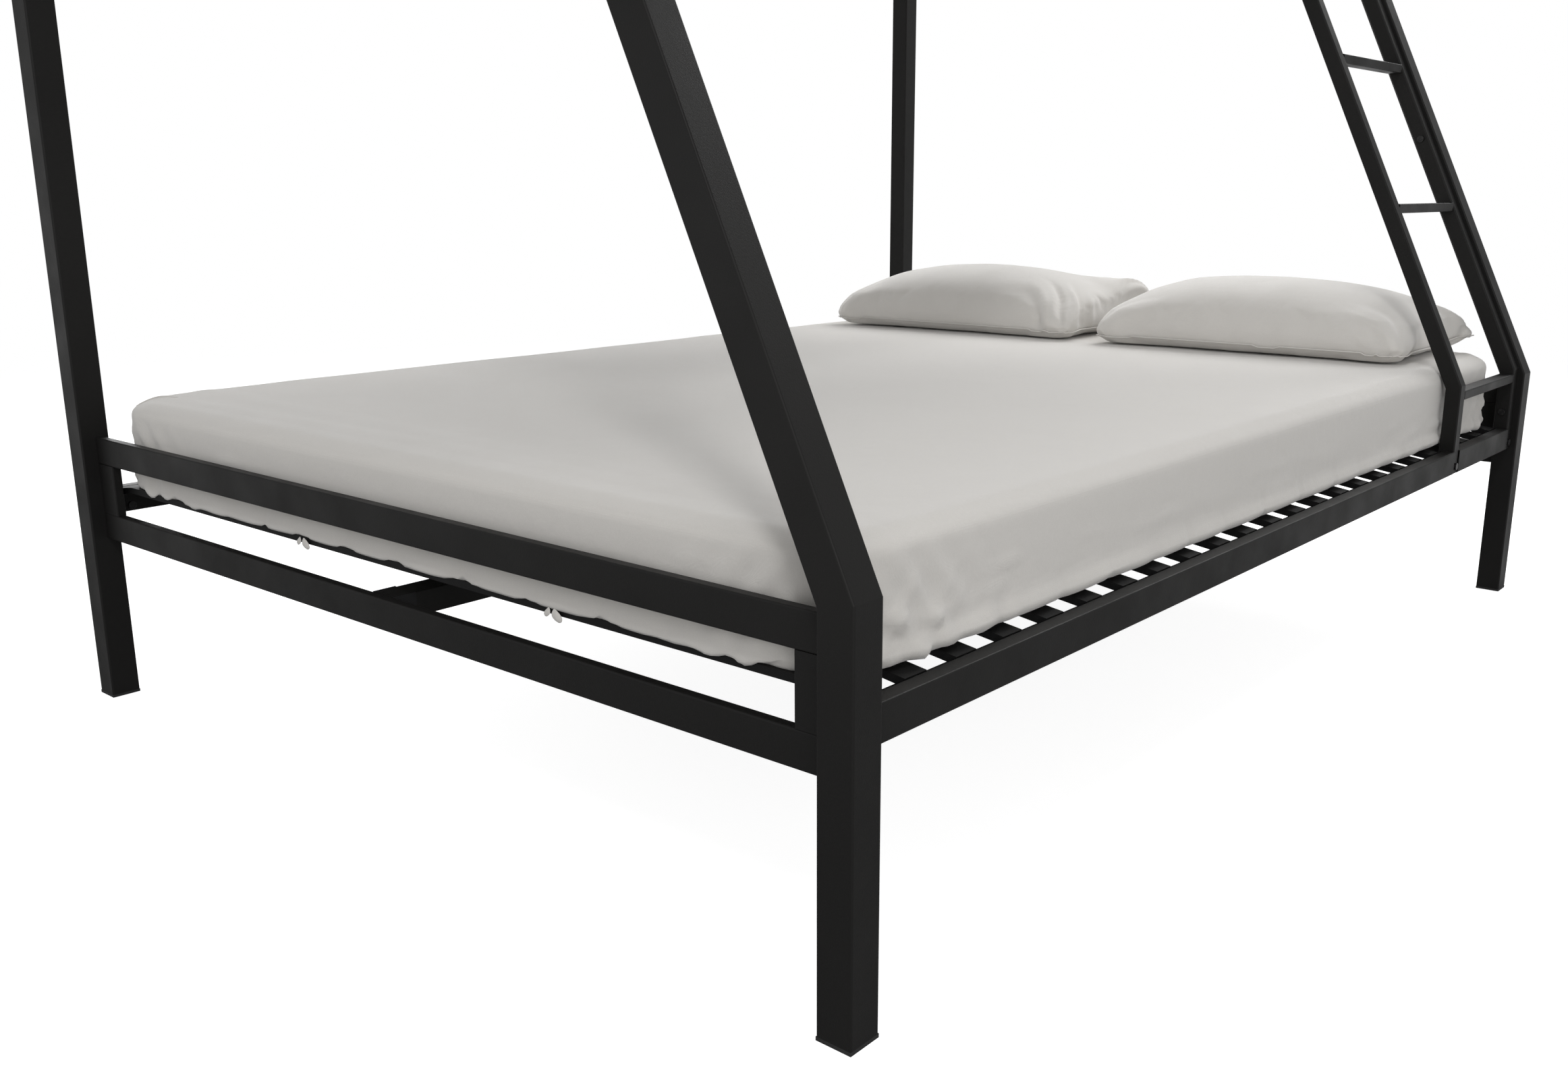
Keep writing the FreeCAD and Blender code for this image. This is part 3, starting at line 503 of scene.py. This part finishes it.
# %% Profile of the sheet
HEM_UNDER = 0.085        # how far the hem reaches in under the mattress
TOP_ROUND = 0.027        # radius of the sheet over the upper edges
LOW_ROUND = 0.010        # radius where it turns in under the mattress
CORNER_TOP = 0.080       # plan radius of a corner at the top
CORNER_HEM = 0.100       # and at the hem, where the elastic draws it in
TOP_SINK = 0.0034        # the cloth starts this far below its room, so that its heights fit in
OVERHANG = 0.0064        # how far the gathers puff out past the mattress over the slats
FURTHEST_OUT = 0.0085    # and how far past its ends nothing reaches
SWELL_WIDTH = 0.105      # from one gather of the elastic to the next
PUCKER_WIDTH = 0.0125    # from one small pucker to the next
SIDE_RING = 20           # a ring of the profile low on the side
CREASES = 5              # beside each corner of a long side
SEAM_INSET = 0.028       # the corner folds are measured from a point this far in from a corner


def sheet_profile(half_wide, bottom, top):
    """Rings from the hem to the middle of the top: inset, height, and the tilt of the way the
    cloth faces (-90 degrees is down, 0 is sideways, 90 is up)."""
    turn = np.linspace(0, math.pi / 2, 11)
    up = np.linspace(0, 1, 14)[1:-1]
    flat_under = np.linspace(HEM_UNDER, LOW_ROUND, 9)[:-1]
    flat_top = np.linspace(TOP_ROUND, half_wide, 66)[1:]
    inset = np.concatenate([flat_under, LOW_ROUND * (1 - np.sin(turn)), np.zeros(up.size),
                            TOP_ROUND * (1 - np.cos(turn)), flat_top])
    height = np.concatenate([np.full(flat_under.size, bottom),
                             bottom + LOW_ROUND * (1 - np.cos(turn)),
                             bottom + LOW_ROUND + (top - bottom - LOW_ROUND - TOP_ROUND) * up,
                             top - TOP_ROUND * (1 - np.sin(turn)),
                             np.full(flat_top.size, top)])
    tilt = np.concatenate([np.full(flat_under.size, -math.pi / 2), turn - math.pi / 2,
                           np.zeros(up.size), turn, np.full(flat_top.size, math.pi / 2)])
    return inset, height, tilt


def sheet_spots(half_long, half_wide, bottom, top):
    """The smooth sheet before any folds: for each point of the grid its x and y, the way it
    faces (seen from above) and tilts, how far round the bed it is, and how far up the side."""
    inset, height, tilt = sheet_profile(half_wide, bottom, top)
    walk = outline_walk(206, 140, 20)
    climb = ((height - bottom) / (top - bottom))[:, None]
    corner = CORNER_HEM + (CORNER_TOP - CORNER_HEM) * ease(climb / 0.7)
    x, y = rings(walk, half_long, half_wide, corner, inset)
    steps = np.hypot(np.diff(x[SIDE_RING], append=x[SIDE_RING, 0]),
                     np.diff(y[SIDE_RING], append=y[SIDE_RING, 0]))
    walked = np.concatenate([[0], np.cumsum(steps)[:-1]])
    return SimpleNamespace(x=x, y=y, height=height[:, None], facing=walk[2],
                           half_long=half_long, half_wide=half_wide,
                           tilt=np.broadcast_to(tilt[:, None], x.shape),
                           along=np.broadcast_to(walked, x.shape),
                           rise=np.broadcast_to(climb, x.shape))


print("the corner radius grows from", CORNER_TOP, "m at the top to", CORNER_HEM, "m at the hem")

# %% [markdown]
# ### Folds
#
# Each kind of fold is a height above the smooth sheet, worked out for all its points at once.
# Where a point lies decides how deep each fold is there, so the folds fade into each other.

# %% Folds of the sheet
def top_lift(spot, seed):
    """Heights on the top: slow and fine unevenness, a slight crown, and two soft folds that run
    across the bed beside each end, deeper at the foot."""
    x, y = spot.x, spot.y
    edge = spot.half_long - np.abs(x)
    uneven = 0.0016 * unevenness(x, y, 0.31, seed) + 0.0006 * unevenness(x, y, 0.09, seed + 3)
    crown = 0.0012 * (1 - (x / spot.half_long) ** 2) * (1 - (y / spot.half_wide) ** 2)
    waver = 0.012 * unevenness(y, 0 * y, 0.25, seed + 4)
    comes_and_goes = ease(0.9 + unevenness(y, 0 * x, 0.4, seed))
    folds = (0.0020 * bell((edge - 0.062 - waver) / 0.013) * comes_and_goes
             + 0.0013 * bell((edge - 0.118 + waver) / 0.016))
    depth = np.where(x < 0, 1.0, 0.4) * ease(edge / 0.03)
    return uneven + crown - TOP_SINK + depth * folds


def side_folds(along, rise, lean, seed):
    """Folds on a side: unevenness stretched up the side and leaning with it. Only its ridges
    stay, as (r + sqrt(r^2 + 0.05)) / 2, and they fade out above two thirds of the height."""
    leaning = along + lean * rise
    ridges = unevenness(leaning, 0.9 * rise, 0.085, seed) + 0.45 * unevenness(
        leaning, 0.9 * rise, 0.034, seed + 1)
    ridges = (ridges + np.sqrt(ridges * ridges + 0.05)) / 2
    deep = ease((0.80 - rise) / 0.70) * ease((rise + 0.05) / 0.15)
    reach = 0.35 + 0.65 * ease(0.5 + 1.2 * unevenness(along, 0 * rise, 0.37, seed + 2))
    return 0.0072 * ridges ** 1.4 * deep * reach


def corner_folds(away, rise, seed):
    """Slanting folds beside a sewn corner: ripples along lines that climb towards the seam."""
    slant = np.abs(away) * 0.8 + 0.085 * rise + 0.01 * unevenness(away, rise * 0.1, 0.05, seed)
    near = bell((np.abs(away) - 0.055) / 0.075)
    return 0.0024 * np.sin(slant * 2 * math.pi / 0.038) * near * ease((0.95 - rise) / 0.5)


def corner_creases(away, rise):
    """Sharper creases on a long side, close to a corner: the sewn corner pulls the hem, so
    each crease starts at the hem and leans away from the corner as it climbs."""
    total = 0 * away
    for number in range(CREASES):
        start = 0.045 + 0.052 * number + 0.014 * math.sin(2.3 * number)
        width = 0.0085 + 0.0035 * (number % 2)
        height = 0.78 - 0.09 * number
        reach = ease((height - rise) / 0.45) * ease((rise + 0.04) / 0.12)
        total = total + (1 - 0.13 * number) * bell((away - start - 0.10 * rise) / width) * reach
    return 0.0038 * total


def hem_swells(along, seed):
    """0 at each gather of the elastic and 1 between: a row of arches of uneven width."""
    wander = 0.030 * unevenness(along, 0 * along, 0.19, seed)
    return np.abs(np.sin((along + wander) * math.pi / SWELL_WIDTH)) ** 0.30


def side_lift(spot, seed):
    """Heights on the sides: the hanging folds, deeper towards the foot, the short folds beside
    each sewn corner, and the sharper creases on the long sides."""
    lean = np.where(spot.y < 0, -0.13, 0.10)
    near_foot = 0.60 + 0.80 * bell((spot.x + spot.half_long - 0.20) / 0.42)
    past_corner = np.hypot(np.abs(spot.x) - (spot.half_long - SEAM_INSET),
                           np.abs(spot.y) - (spot.half_wide - SEAM_INSET)) - SEAM_INSET
    on_long_side = ease(np.abs(np.sin(spot.facing)) * 2 - 1)
    return (near_foot * side_folds(spot.along, spot.rise, lean, seed + 5)
            + corner_folds(past_corner, spot.rise, seed + 8)
            + on_long_side * corner_creases(spot.half_long - np.abs(spot.x), spot.rise))


print(CREASES, "creases beside each corner, and a gather of the hem about every",
      SWELL_WIDTH, "m")

# %% Fitted sheet
def fitted_sheet(name, node, seed):
    """The outline carried along the sheet's profile, then moved along the way it faces by the
    folds. Returns the sheet, the points of its grid for the hem and the seams, and the size and
    area of the flat cloth that it is cut from."""
    low, high = (np.array(v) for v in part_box(node))
    middle = (low + high) / 2
    half_long, half_wide = (high[0] - low[0]) / 2, (high[1] - low[1]) / 2
    bottom, top = low[2] + 0.0003, high[2] - 0.0002
    spot = sheet_spots(half_long, half_wide, bottom, top)
    level, upright = np.cos(spot.tilt), np.sin(spot.tilt)
    is_side = ease(level * 1.6)
    is_top = ease((upright - 0.3) / 0.6)
    is_under = ease((-upright - 0.55) / 0.4)
    lift = is_top * top_lift(spot, seed) + is_side * side_lift(spot, seed)
    # The elastic draws the hem in at each gather, and the mattress holds the underside flat.
    swells = hem_swells(spot.along, seed + 9)
    at_hem = bell((spot.rise - 0.06) / 0.14) * ease(1.4 + upright * 0.9)
    lift = lift + at_hem * (0.0026 * swells - 0.0012)
    lift = lift - is_under * lift * 0.85
    # Low on the side the gathers pucker, and puff out in a lip over the slats.
    gathers = (1 - swells) * bell((spot.rise - 0.13) / 0.11)
    lift = lift + 0.0018 * is_side * gathers * np.sin(spot.along * 2 * math.pi / PUCKER_WIDTH)
    lip = bell((spot.rise - 0.045) / 0.075) * (0.84 + 0.16 * swells)
    lift = lift + OVERHANG * lip * ease(level * 2.5)
    x = spot.x + lift * level * np.cos(spot.facing)
    y = spot.y + lift * level * np.sin(spot.facing)
    z = spot.height + lift * upright
    # Past the first slat there is nothing under the lip, so it hangs a little.
    past_slats = ease((-x - (half_long + 0.0040)) / 0.0020)
    z = z - 0.0044 * past_slats * lip
    x = np.clip(x, -half_long - FURTHEST_OUT, half_long + FURTHEST_OUT)
    points = np.stack([x + middle[0], y + middle[1], z], -1)
    piece = make_piece(name, points, grid_faces(*x.shape, True), merge=0.0003)
    piece.data.materials.append(sheet_cotton)
    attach(piece, node)
    depth = top - bottom + HEM_UNDER
    flat = (2 * half_wide + 2 * depth, 2 * half_long + 2 * depth)
    print(name, "was cut", [round(v, 3) for v in flat], "m,", len(piece.data.polygons), "faces")
    return piece, points, flat, flat[0] * flat[1] - 4 * depth * depth

# %% [markdown]
# ## Hem and corner seams
#
# Two things give a fitted sheet away: the rolled hem with its elastic, and the seam at each
# corner. Both are thin tubes that follow lines already on the sheet, so each is a small
# round profile carried along a row or a column of the sheet's own grid of points.

# %% Tubes along the sheet
TUBE_SIDES = 8
SEAM_RINGS = 44          # a corner seam runs from the hem up over the upper edge
UPPER_EDGE_RING = 34     # the ring from which a seam lies on top of the edge


def tube_along(name, path, wide, tall, closed):
    """A flattened round profile carried along a path: wide lies across the path and level,
    tall stands square to both. The gathers of the stitching make it swell and shrink."""
    ahead = np.roll(path, -1, 0) - np.roll(path, 1, 0)
    if not closed:
        ahead[0], ahead[-1] = path[1] - path[0], path[-1] - path[-2]
    ahead /= np.linalg.norm(ahead, axis=1)[:, None]
    outward = np.cross(ahead, [0.0, 0.0, 1.0])
    outward /= np.maximum(np.linalg.norm(outward, axis=1), 1e-6)[:, None]
    upward = np.cross(outward, ahead)
    turn = np.linspace(0, 2 * math.pi, TUBE_SIDES, endpoint=False)
    gather = 1 + 0.12 * np.sin(np.arange(len(path)) * 1.9)[:, None, None]
    ring = (np.cos(turn)[None, :, None] * outward[:, None, :] * wide / 2
            + np.sin(turn)[None, :, None] * upward[:, None, :] * tall / 2)
    points = path[:, None, :] + ring * gather
    if closed:
        points = np.concatenate([points, points[:1]], 0)
    else:
        points[0] = path[0]
        points[-1] = path[-1]
    return make_piece(name, points, grid_faces(len(points), TUBE_SIDES, True), merge=0.00002)


def sew_sheet(name, grid, body):
    """The hem along the first ring and a seam up the middle of each corner."""
    hem_line = grid[0].copy()
    hem_line[:, 2] -= 0.0001
    sewn = [tube_along(name + "_hem", hem_line, 0.0060, 0.0010, True)]
    centre = grid[:, :, :2].mean((0, 1))
    for number, signs in enumerate(CORNERS, 1):
        reach = ((grid[SIDE_RING, :, :2] - centre) * signs).sum(1)
        line = grid[:SEAM_RINGS, int(reach.argmax())].copy()
        line[:, :2] += 0.0004 * np.array(signs)
        line[UPPER_EDGE_RING:, 2] += 0.0003
        sewn.append(tube_along("%s_seam_%d" % (name, number), line, 0.0026, 0.0018, False))
    for piece in sewn:
        piece.data.materials.append(sheet_cotton)
        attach(piece, body)
    return sewn

# %% [markdown]
# ### Tied ends
#
# The elastic runs in a tape, and at the foot its knotted ends hang out under the hem in two
# places. Each end is a pair of small crumpled drops.

# %% Tied ends
TIE_DOWN, TIE_AROUND = 15, 16       # grid of a drop
TIE_DROPS = ((0.008, 0.0050, 0.0115), (-0.010, 0.0088, 0.0145))     # sideways, radius, length
TIE_PLACES = (0.2533, -0.4326)      # where the ties hang, as shares of half the width


def hem_tie(name, y, grid, body):
    """A knotted end of the elastic's tape: two small drops that hang side by side over the
    slat. Radius along a drop = r * sin(pi * t)^0.7 * (0.55 + 0.6 t), with small ridges."""
    t, angle = np.meshgrid(np.linspace(0, 1, TIE_DOWN),
                           np.linspace(0, 2 * math.pi, TIE_AROUND, endpoint=False), indexing="ij")
    edge = grid[:, :, 0].min() + 0.0017
    top = grid[:, :, 2].min() + 0.0050
    drops, faces = [], []
    for number, (sideways, radius, length) in enumerate(TIE_DROPS):
        ridges = 1 + 0.13 * np.cos(5 * angle + 4 * t)
        r = radius * np.sin(math.pi * t) ** 0.7 * (0.55 + 0.6 * t) * ridges
        drop = np.stack([edge + 0.26 * r * np.cos(angle),
                         y + sideways * (0.45 + 0.7 * t) + r * np.sin(angle),
                         top - length * t], -1)
        drops.append(drop.reshape(-1, 3))
        outwards = grid_faces(TIE_DOWN, TIE_AROUND, True)[:, ::-1]
        faces.append(outwards + TIE_DOWN * TIE_AROUND * number)
    piece = make_piece(name, np.concatenate(drops), np.concatenate(faces), merge=0.00001)
    smooth = piece.modifiers.new("finer", "SUBSURF")
    smooth.levels = smooth.render_levels = 1
    piece.data.materials.append(sheet_cotton)
    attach(piece, body)
    return piece


for name, node, foam, seed in (("lower_sheet", "lower_mattress", lower_foam, 4),
                               ("upper_sheet", "upper_mattress", upper_foam, 40)):
    sheet, grid, flat, area = fitted_sheet(name, node, seed)
    sewn = sew_sheet(name, grid, node)
    half_width = (grid[:, :, 1].max() - grid[:, :, 1].min()) / 2
    for number, share in enumerate(TIE_PLACES, 1):
        y = grid[:, :, 1].mean() + share * half_width
        sewn.append(hem_tie("%s_tie_%d" % (name, number), y, grid, node))
    print(name, "has", len(sewn), "hems, seams and ties")

# %% [markdown]
# ## Pillows
#
# A pillowcase is two panels of cotton sewn together round the edge and stuffed until it is
# plump. The filling crowns it, and because the seam can't stretch, the sides pull in between
# the corners and the corners are left flat and pointed. Its own weight presses the underside
# flat, which leaves the seam a finger above the bed.
#
# The shape comes first, as a formula. Then the cloth is cut a little too large for it and
# air is let in, so that it finds its own small wrinkles. Its points may move only a
# little, so that the pillow keeps its shape. The folds that a hand leaves, which fan out from
# the corners, are put in last.

# %% The shape of a pillow
SEAM_HEIGHT = 0.012      # the seam above the bed
PILLOW_ROOM = 0.003      # the pillow is this much smaller than its solid
LEFT_FOR_AIR = np.array([0.010, 0.010, 0.006])      # and the shape before the air by this too
PANEL_ROWS, PANEL_COLUMNS = 71, 111
SQUARE = 0.006           # side of the even squares that the cloth is made of


def pillow_surface(s, t, size, side):
    """Points of the upper (side 1) or lower (side -1) panel, in a box of the given size that
    stands on z = 0. s and t run from -1 to 1 across the panel.

    Upper height = crown * (1 - |u|^2.4)^0.52 * (1 - |v|^2.6)^0.48, an arch both ways. The two
    corners towards the foot (u < 0) are blunt, the other two run out to a point."""
    u, v = 0.8 * np.sin(s * math.pi / 2) + 0.2 * s, 0.8 * np.sin(t * math.pi / 2) + 0.2 * t
    across = np.clip(1 - np.abs(u) ** 2.4, 0, 1) ** 0.52
    along = np.clip(1 - np.abs(v) ** 2.6, 0, 1) ** 0.48
    arch = across * along
    belly = 0.030 * np.sin(math.pi * np.clip(arch * 1.6, 0, 1)) if side > 0 else 0.0
    blunt = np.where(u < 0, 0.10, 0.0) * u ** 8 * v ** 8
    x = u * size[0] / 2 * (0.98 - 0.045 * (1 - v ** 4) * np.abs(u) ** 3 - blunt + belly)
    y = v * size[1] / 2 * (1.00 - 0.065 * (1 - u ** 4) * np.abs(v) ** 3 - blunt + 0.5 * belly)
    if side > 0:
        z = SEAM_HEIGHT + (size[2] - SEAM_HEIGHT) * arch
    else:
        z = SEAM_HEIGHT * (1 - ease(1.8 * arch))
    return np.stack([x, y, z], -1)


def shaped_case(name, size):
    """Both panels as one closed skin of even squares, ready to be blown up."""
    s, t = np.meshgrid(np.linspace(-1, 1, PANEL_ROWS), np.linspace(-1, 1, PANEL_COLUMNS),
                       indexing="ij")
    upper, lower = (pillow_surface(s, t, size, side).reshape(-1, 3) for side in (1, -1))
    faces = grid_faces(PANEL_ROWS, PANEL_COLUMNS, False)
    rough = make_piece(name, np.concatenate([upper, lower]),
                       np.concatenate([faces, faces[:, ::-1] + len(upper)]), merge=0.0001)
    even = rough.modifiers.new("even", "REMESH")
    even.mode = "VOXEL"
    even.voxel_size = SQUARE
    squares = bpy.data.meshes.new_from_object(
        rough.evaluated_get(bpy.context.evaluated_depsgraph_get()))
    rough.modifiers.clear()
    rough.data = squares
    return rough

# %% Letting air into the case
def points_of(mesh):
    """All points of a mesh as one array."""
    values = np.zeros(len(mesh.vertices) * 3)
    mesh.vertices.foreach_get("co", values)
    return values.reshape(-1, 3)


def facing_of(mesh):
    """The way that a mesh faces at each of its points."""
    values = np.zeros(len(mesh.vertices) * 3)
    mesh.vertex_normals.foreach_get("vector", values)
    return values.reshape(-1, 3)


def let_air_in(case, looser, frames, furthest):
    """The cloth, cut looser than the shape by that share, with air inside for some frames.
    No point moves further than the given distance."""
    before = points_of(case.data)
    cloth = case.modifiers.new("air", "CLOTH")
    weave = cloth.settings
    weave.quality = 5
    weave.mass = 0.2
    weave.tension_stiffness = weave.compression_stiffness = 15
    weave.shear_stiffness = 5
    weave.bending_stiffness = 0.3
    weave.shrink_min = -looser
    weave.use_pressure = True
    weave.uniform_pressure_force = 4.0
    weave.effector_weights.gravity = 0
    cloth.point_cache.frame_start, cloth.point_cache.frame_end = 1, frames
    scene = bpy.context.scene
    for number in range(1, frames + 1):
        scene.frame_set(number)
    blown = points_of(case.evaluated_get(bpy.context.evaluated_depsgraph_get()).to_mesh())
    case.modifiers.remove(cloth)
    scene.frame_set(1)
    move = blown - before
    length = np.linalg.norm(move, axis=1)[:, None]
    return before + move * np.minimum(1, furthest / np.maximum(length, 1e-9))

# %% Folds and seam
def fan_folds(x, y, size, depths, seed):
    """Folds that fan out from each corner: ripples over the angle about the corner, deepest a
    hand's width from it. depths gives the four corners, foot end first, ladder side first."""
    total = 0 * x
    for number, (side_x, side_y) in enumerate(((-1, -1), (-1, 1), (1, -1), (1, 1))):
        away_x = size[0] / 2 - side_x * x
        away_y = size[1] / 2 - side_y * y
        radius = np.hypot(away_x, away_y)
        angle = np.arctan2(away_y, away_x)
        wander = 0.35 * unevenness(x, y, 0.09, seed + number)
        ripples = np.cos(11 * (angle + wander)) + 0.35 * np.cos(25 * (angle + wander))
        total = total + depths[number] * bell((radius - 0.085) / 0.055) * ripples
    return total


def crumpled(points, facing, size, depths, seed):
    """The points moved along the way they face by slow swells, the fans of folds, and small
    tucks at both ends. What lies on the bed stays flat."""
    x, y = points[:, 0], points[:, 1]
    above = ease((points[:, 2] - SEAM_HEIGHT) / 0.02)
    inside = ease((size[0] / 2 - np.abs(x)) / 0.05) * ease((size[1] / 2 - np.abs(y)) / 0.05)
    swell = 0.0035 * unevenness(x, y, 0.15, seed) + 0.0012 * unevenness(x, y, 0.055, seed + 1)
    tucks = (0.0022 * unevenness(y, 0 * y, 0.026, seed + 7)
             * bell((np.abs(x) - size[0] / 2 + 0.02) / 0.02))
    height = swell * inside + fan_folds(x, y, size, depths, seed + 2) + tucks
    return points + facing * (above * height)[:, None]


def seam_line(points, size):
    """A line round the case where its panels meet: the points nearest to the formula's edge,
    drawn a little towards that edge."""
    edge = np.linspace(-1, 1, 90, endpoint=False)
    end = np.ones(edge.size)
    line = pillow_surface(np.concatenate([edge, end, -edge, -end]),
                          np.concatenate([-end, edge, end, -edge]), size - LEFT_FOR_AIR, 1)
    nearest = ((line[:, None, :] - points[None, :, :]) ** 2).sum(2).argmin(1)
    return points[nearest] * 0.7 + line * 0.3


def set_down(points, low, high, corner, lift):
    """Raises the named corner of the pillow by lift and sets the pillow down in its place."""
    half = (high - low - PILLOW_ROOM) / 2
    near = (ease((points[:, 0] * corner[0] / half[0] - 0.1) / 0.9)
            * ease((points[:, 1] * corner[1] / half[1] - 0.3) / 0.7))
    points = points + np.outer(lift * near, [0, 0, 1])
    points[:, 2] = np.clip(points[:, 2], 0.0006, None)
    return points + np.array([(low[0] + high[0]) / 2, (low[1] + high[1]) / 2, low[2]])


def pillow(name, node, body, corner, lift, depths, seed):
    """A blown-up case in the box of its CAD solid, with its folds and its seam. corner is the
    corner that stands up from the bed (signs of x and y), and lift says by how much."""
    low, high = (np.array(v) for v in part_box(node))
    size = high - low - PILLOW_ROOM
    case = shaped_case(name, size - LEFT_FOR_AIR)
    points = points_of(case.data)
    points = let_air_in(case, looser=0.035, frames=18, furthest=0.009)
    case.data.vertices.foreach_set("co", points.ravel())
    case.data.update()
    points = crumpled(points, facing_of(case.data), size, depths, seed)
    line = set_down(seam_line(points, size), low, high, corner, lift)
    points = set_down(points, low, high, corner, lift)
    case.data.vertices.foreach_set("co", points.ravel())
    case.data.update()
    case.data.shade_smooth()
    smooth = case.modifiers.new("finer", "SUBSURF")
    smooth.levels = smooth.render_levels = 1
    seam = tube_along(name + "_seam", line, 0.0034, 0.0022, True)
    for piece in (case, seam):
        piece.data.materials.append(case_cotton)
        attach(piece, body)
    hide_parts(node)
    print(name, "is", [round(float(v), 3) for v in points.max(0) - points.min(0)], "m")


pillow("rear_case", "lower_pillow_rear", "rear_pillow", corner=(1, -1), lift=0.050,
       depths=(0.0075, 0.0020, 0.0030, 0.0020), seed=3)
pillow("front_case", "lower_pillow_front", "front_pillow", corner=(1, -1), lift=0.012,
       depths=(0.0028, 0.0010, 0.0035, 0.0020), seed=5)
pillow("upper_case", "upper_pillow", "top_pillow", corner=(1, 1), lift=0.020,
       depths=(0.0025, 0.0030, 0.0020, 0.0030), seed=7)

# %% [markdown]
# ## Floor and light
#
# A studio sweeps its pale floor up into the wall so that no edge shows. Here the floor fades
# into the colour of the background a few metres out. The light is wide and soft: the open
# sky round the bed does most of the work, because the upper bunk would shade a lamp from
# above, and a few large panels give the cloth its shape.

# %% Floor and background
def studio_floor():
    """A pale floor that turns into the background colour between 2 and 5 metres out. What the
    eye sees of it is lifted towards white, as on an overlit studio floor, but the light that it
    sends up on the bed is that of the plain floor."""
    reach = 40.0
    corners = np.array([[-reach, -reach, 0], [reach, -reach, 0], [reach, reach, 0], [-reach, reach, 0]])
    floor = make_piece("studio_floor", corners, np.array([[0, 1, 2, 3]]))
    finish, tree, shader = new_finish("pale_floor")
    where = place_on_piece(tree)
    out = add_node(tree, "ShaderNodeVectorMath", {"operation": "LENGTH"}, _0=where)
    fade = add_node(tree, "ShaderNodeMapRange", {"interpolation_type": "SMOOTHSTEP"},
                    Value=out.outputs["Value"], From_Min=2.0, From_Max=5.0)
    tone = drift(tree, where, 0.8, 0.0, 1.0)
    tree.links.new(blend_colours(tree, tone, (0.41, 0.41, 0.41), (0.43, 0.43, 0.43)),
                   shader.inputs["Base Color"])
    shader.inputs["Roughness"].default_value = 0.8
    path = tree.nodes.new("ShaderNodeLightPath")
    lifted = add_node(tree, "ShaderNodeMath", {"operation": "MULTIPLY"},
                      _0=path.outputs["Is Camera Ray"], _1=0.88)
    shader.inputs["Emission Color"].default_value = (1, 1, 1, 1)
    tree.links.new(lifted.outputs[0], shader.inputs["Emission Strength"])
    glow = add_node(tree, "ShaderNodeEmission", Color=(1, 1, 1, 1), Strength=1.0)
    join = add_node(tree, "ShaderNodeMixShader", _0=fade.outputs["Result"],
                    _1=shader.outputs[0], _2=glow.outputs[0])
    tree.links.new(join.outputs[0], tree.nodes["Material Output"].inputs["Surface"])
    floor.data.materials.append(finish)


def studio_sky(background, light):
    """White behind the bed, and an even light of its own strength from all round."""
    world = bpy.data.worlds.new("studio_sky")
    bpy.context.scene.world = world
    world.use_nodes = True
    tree = world.node_tree
    sky = tree.nodes["Background"]
    sky.inputs["Color"].default_value = (1, 1, 1, 1)
    path = tree.nodes.new("ShaderNodeLightPath")
    strength = add_node(tree, "ShaderNodeMapRange", Value=path.outputs["Is Camera Ray"],
                        To_Min=light, To_Max=background)
    tree.links.new(strength.outputs["Result"], sky.inputs["Strength"])


def soft_panel(name, place, aim, size, watts):
    """A wide square lamp that faces the given point."""
    lamp = bpy.data.lights.new(name, "AREA")
    lamp.shape = "SQUARE"
    lamp.size = size
    lamp.energy = watts
    panel = bpy.data.objects.new(name, lamp)
    bpy.context.scene.collection.objects.link(panel)
    panel.location = place
    panel.rotation_mode = "QUATERNION"
    panel.rotation_quaternion = (Vector(aim) - Vector(place)).to_track_quat("-Z", "Y")


studio_floor()
studio_sky(background=1.0, light=0.45)
soft_panel("rear_panel", (1.8, 4.4, 2.2), (0.2, 0.0, 0.45), 3.0, 100)
soft_panel("head_panel", (3.4, 0.2, 3.5), (0.6, 0.0, 0.45), 2.6, 146)
soft_panel("front_panel", (-2.9, -3.9, 1.7), (0.1, 0.0, 0.45), 2.0, 48)
soft_panel("foot_panel", (-2.8, -2.0, 3.8), (-0.3, -0.1, 0.45), 0.55, 45)
soft_panel("low_panel", (-4.6, 1.2, 1.9), (0.4, 0.0, 0.50), 1.8, 12)
print("lamps:", [lamp.name for lamp in bpy.data.lights])
bpy.context.scene.view_settings.view_transform = "Standard"
bpy.context.scene.view_settings.look = "None"
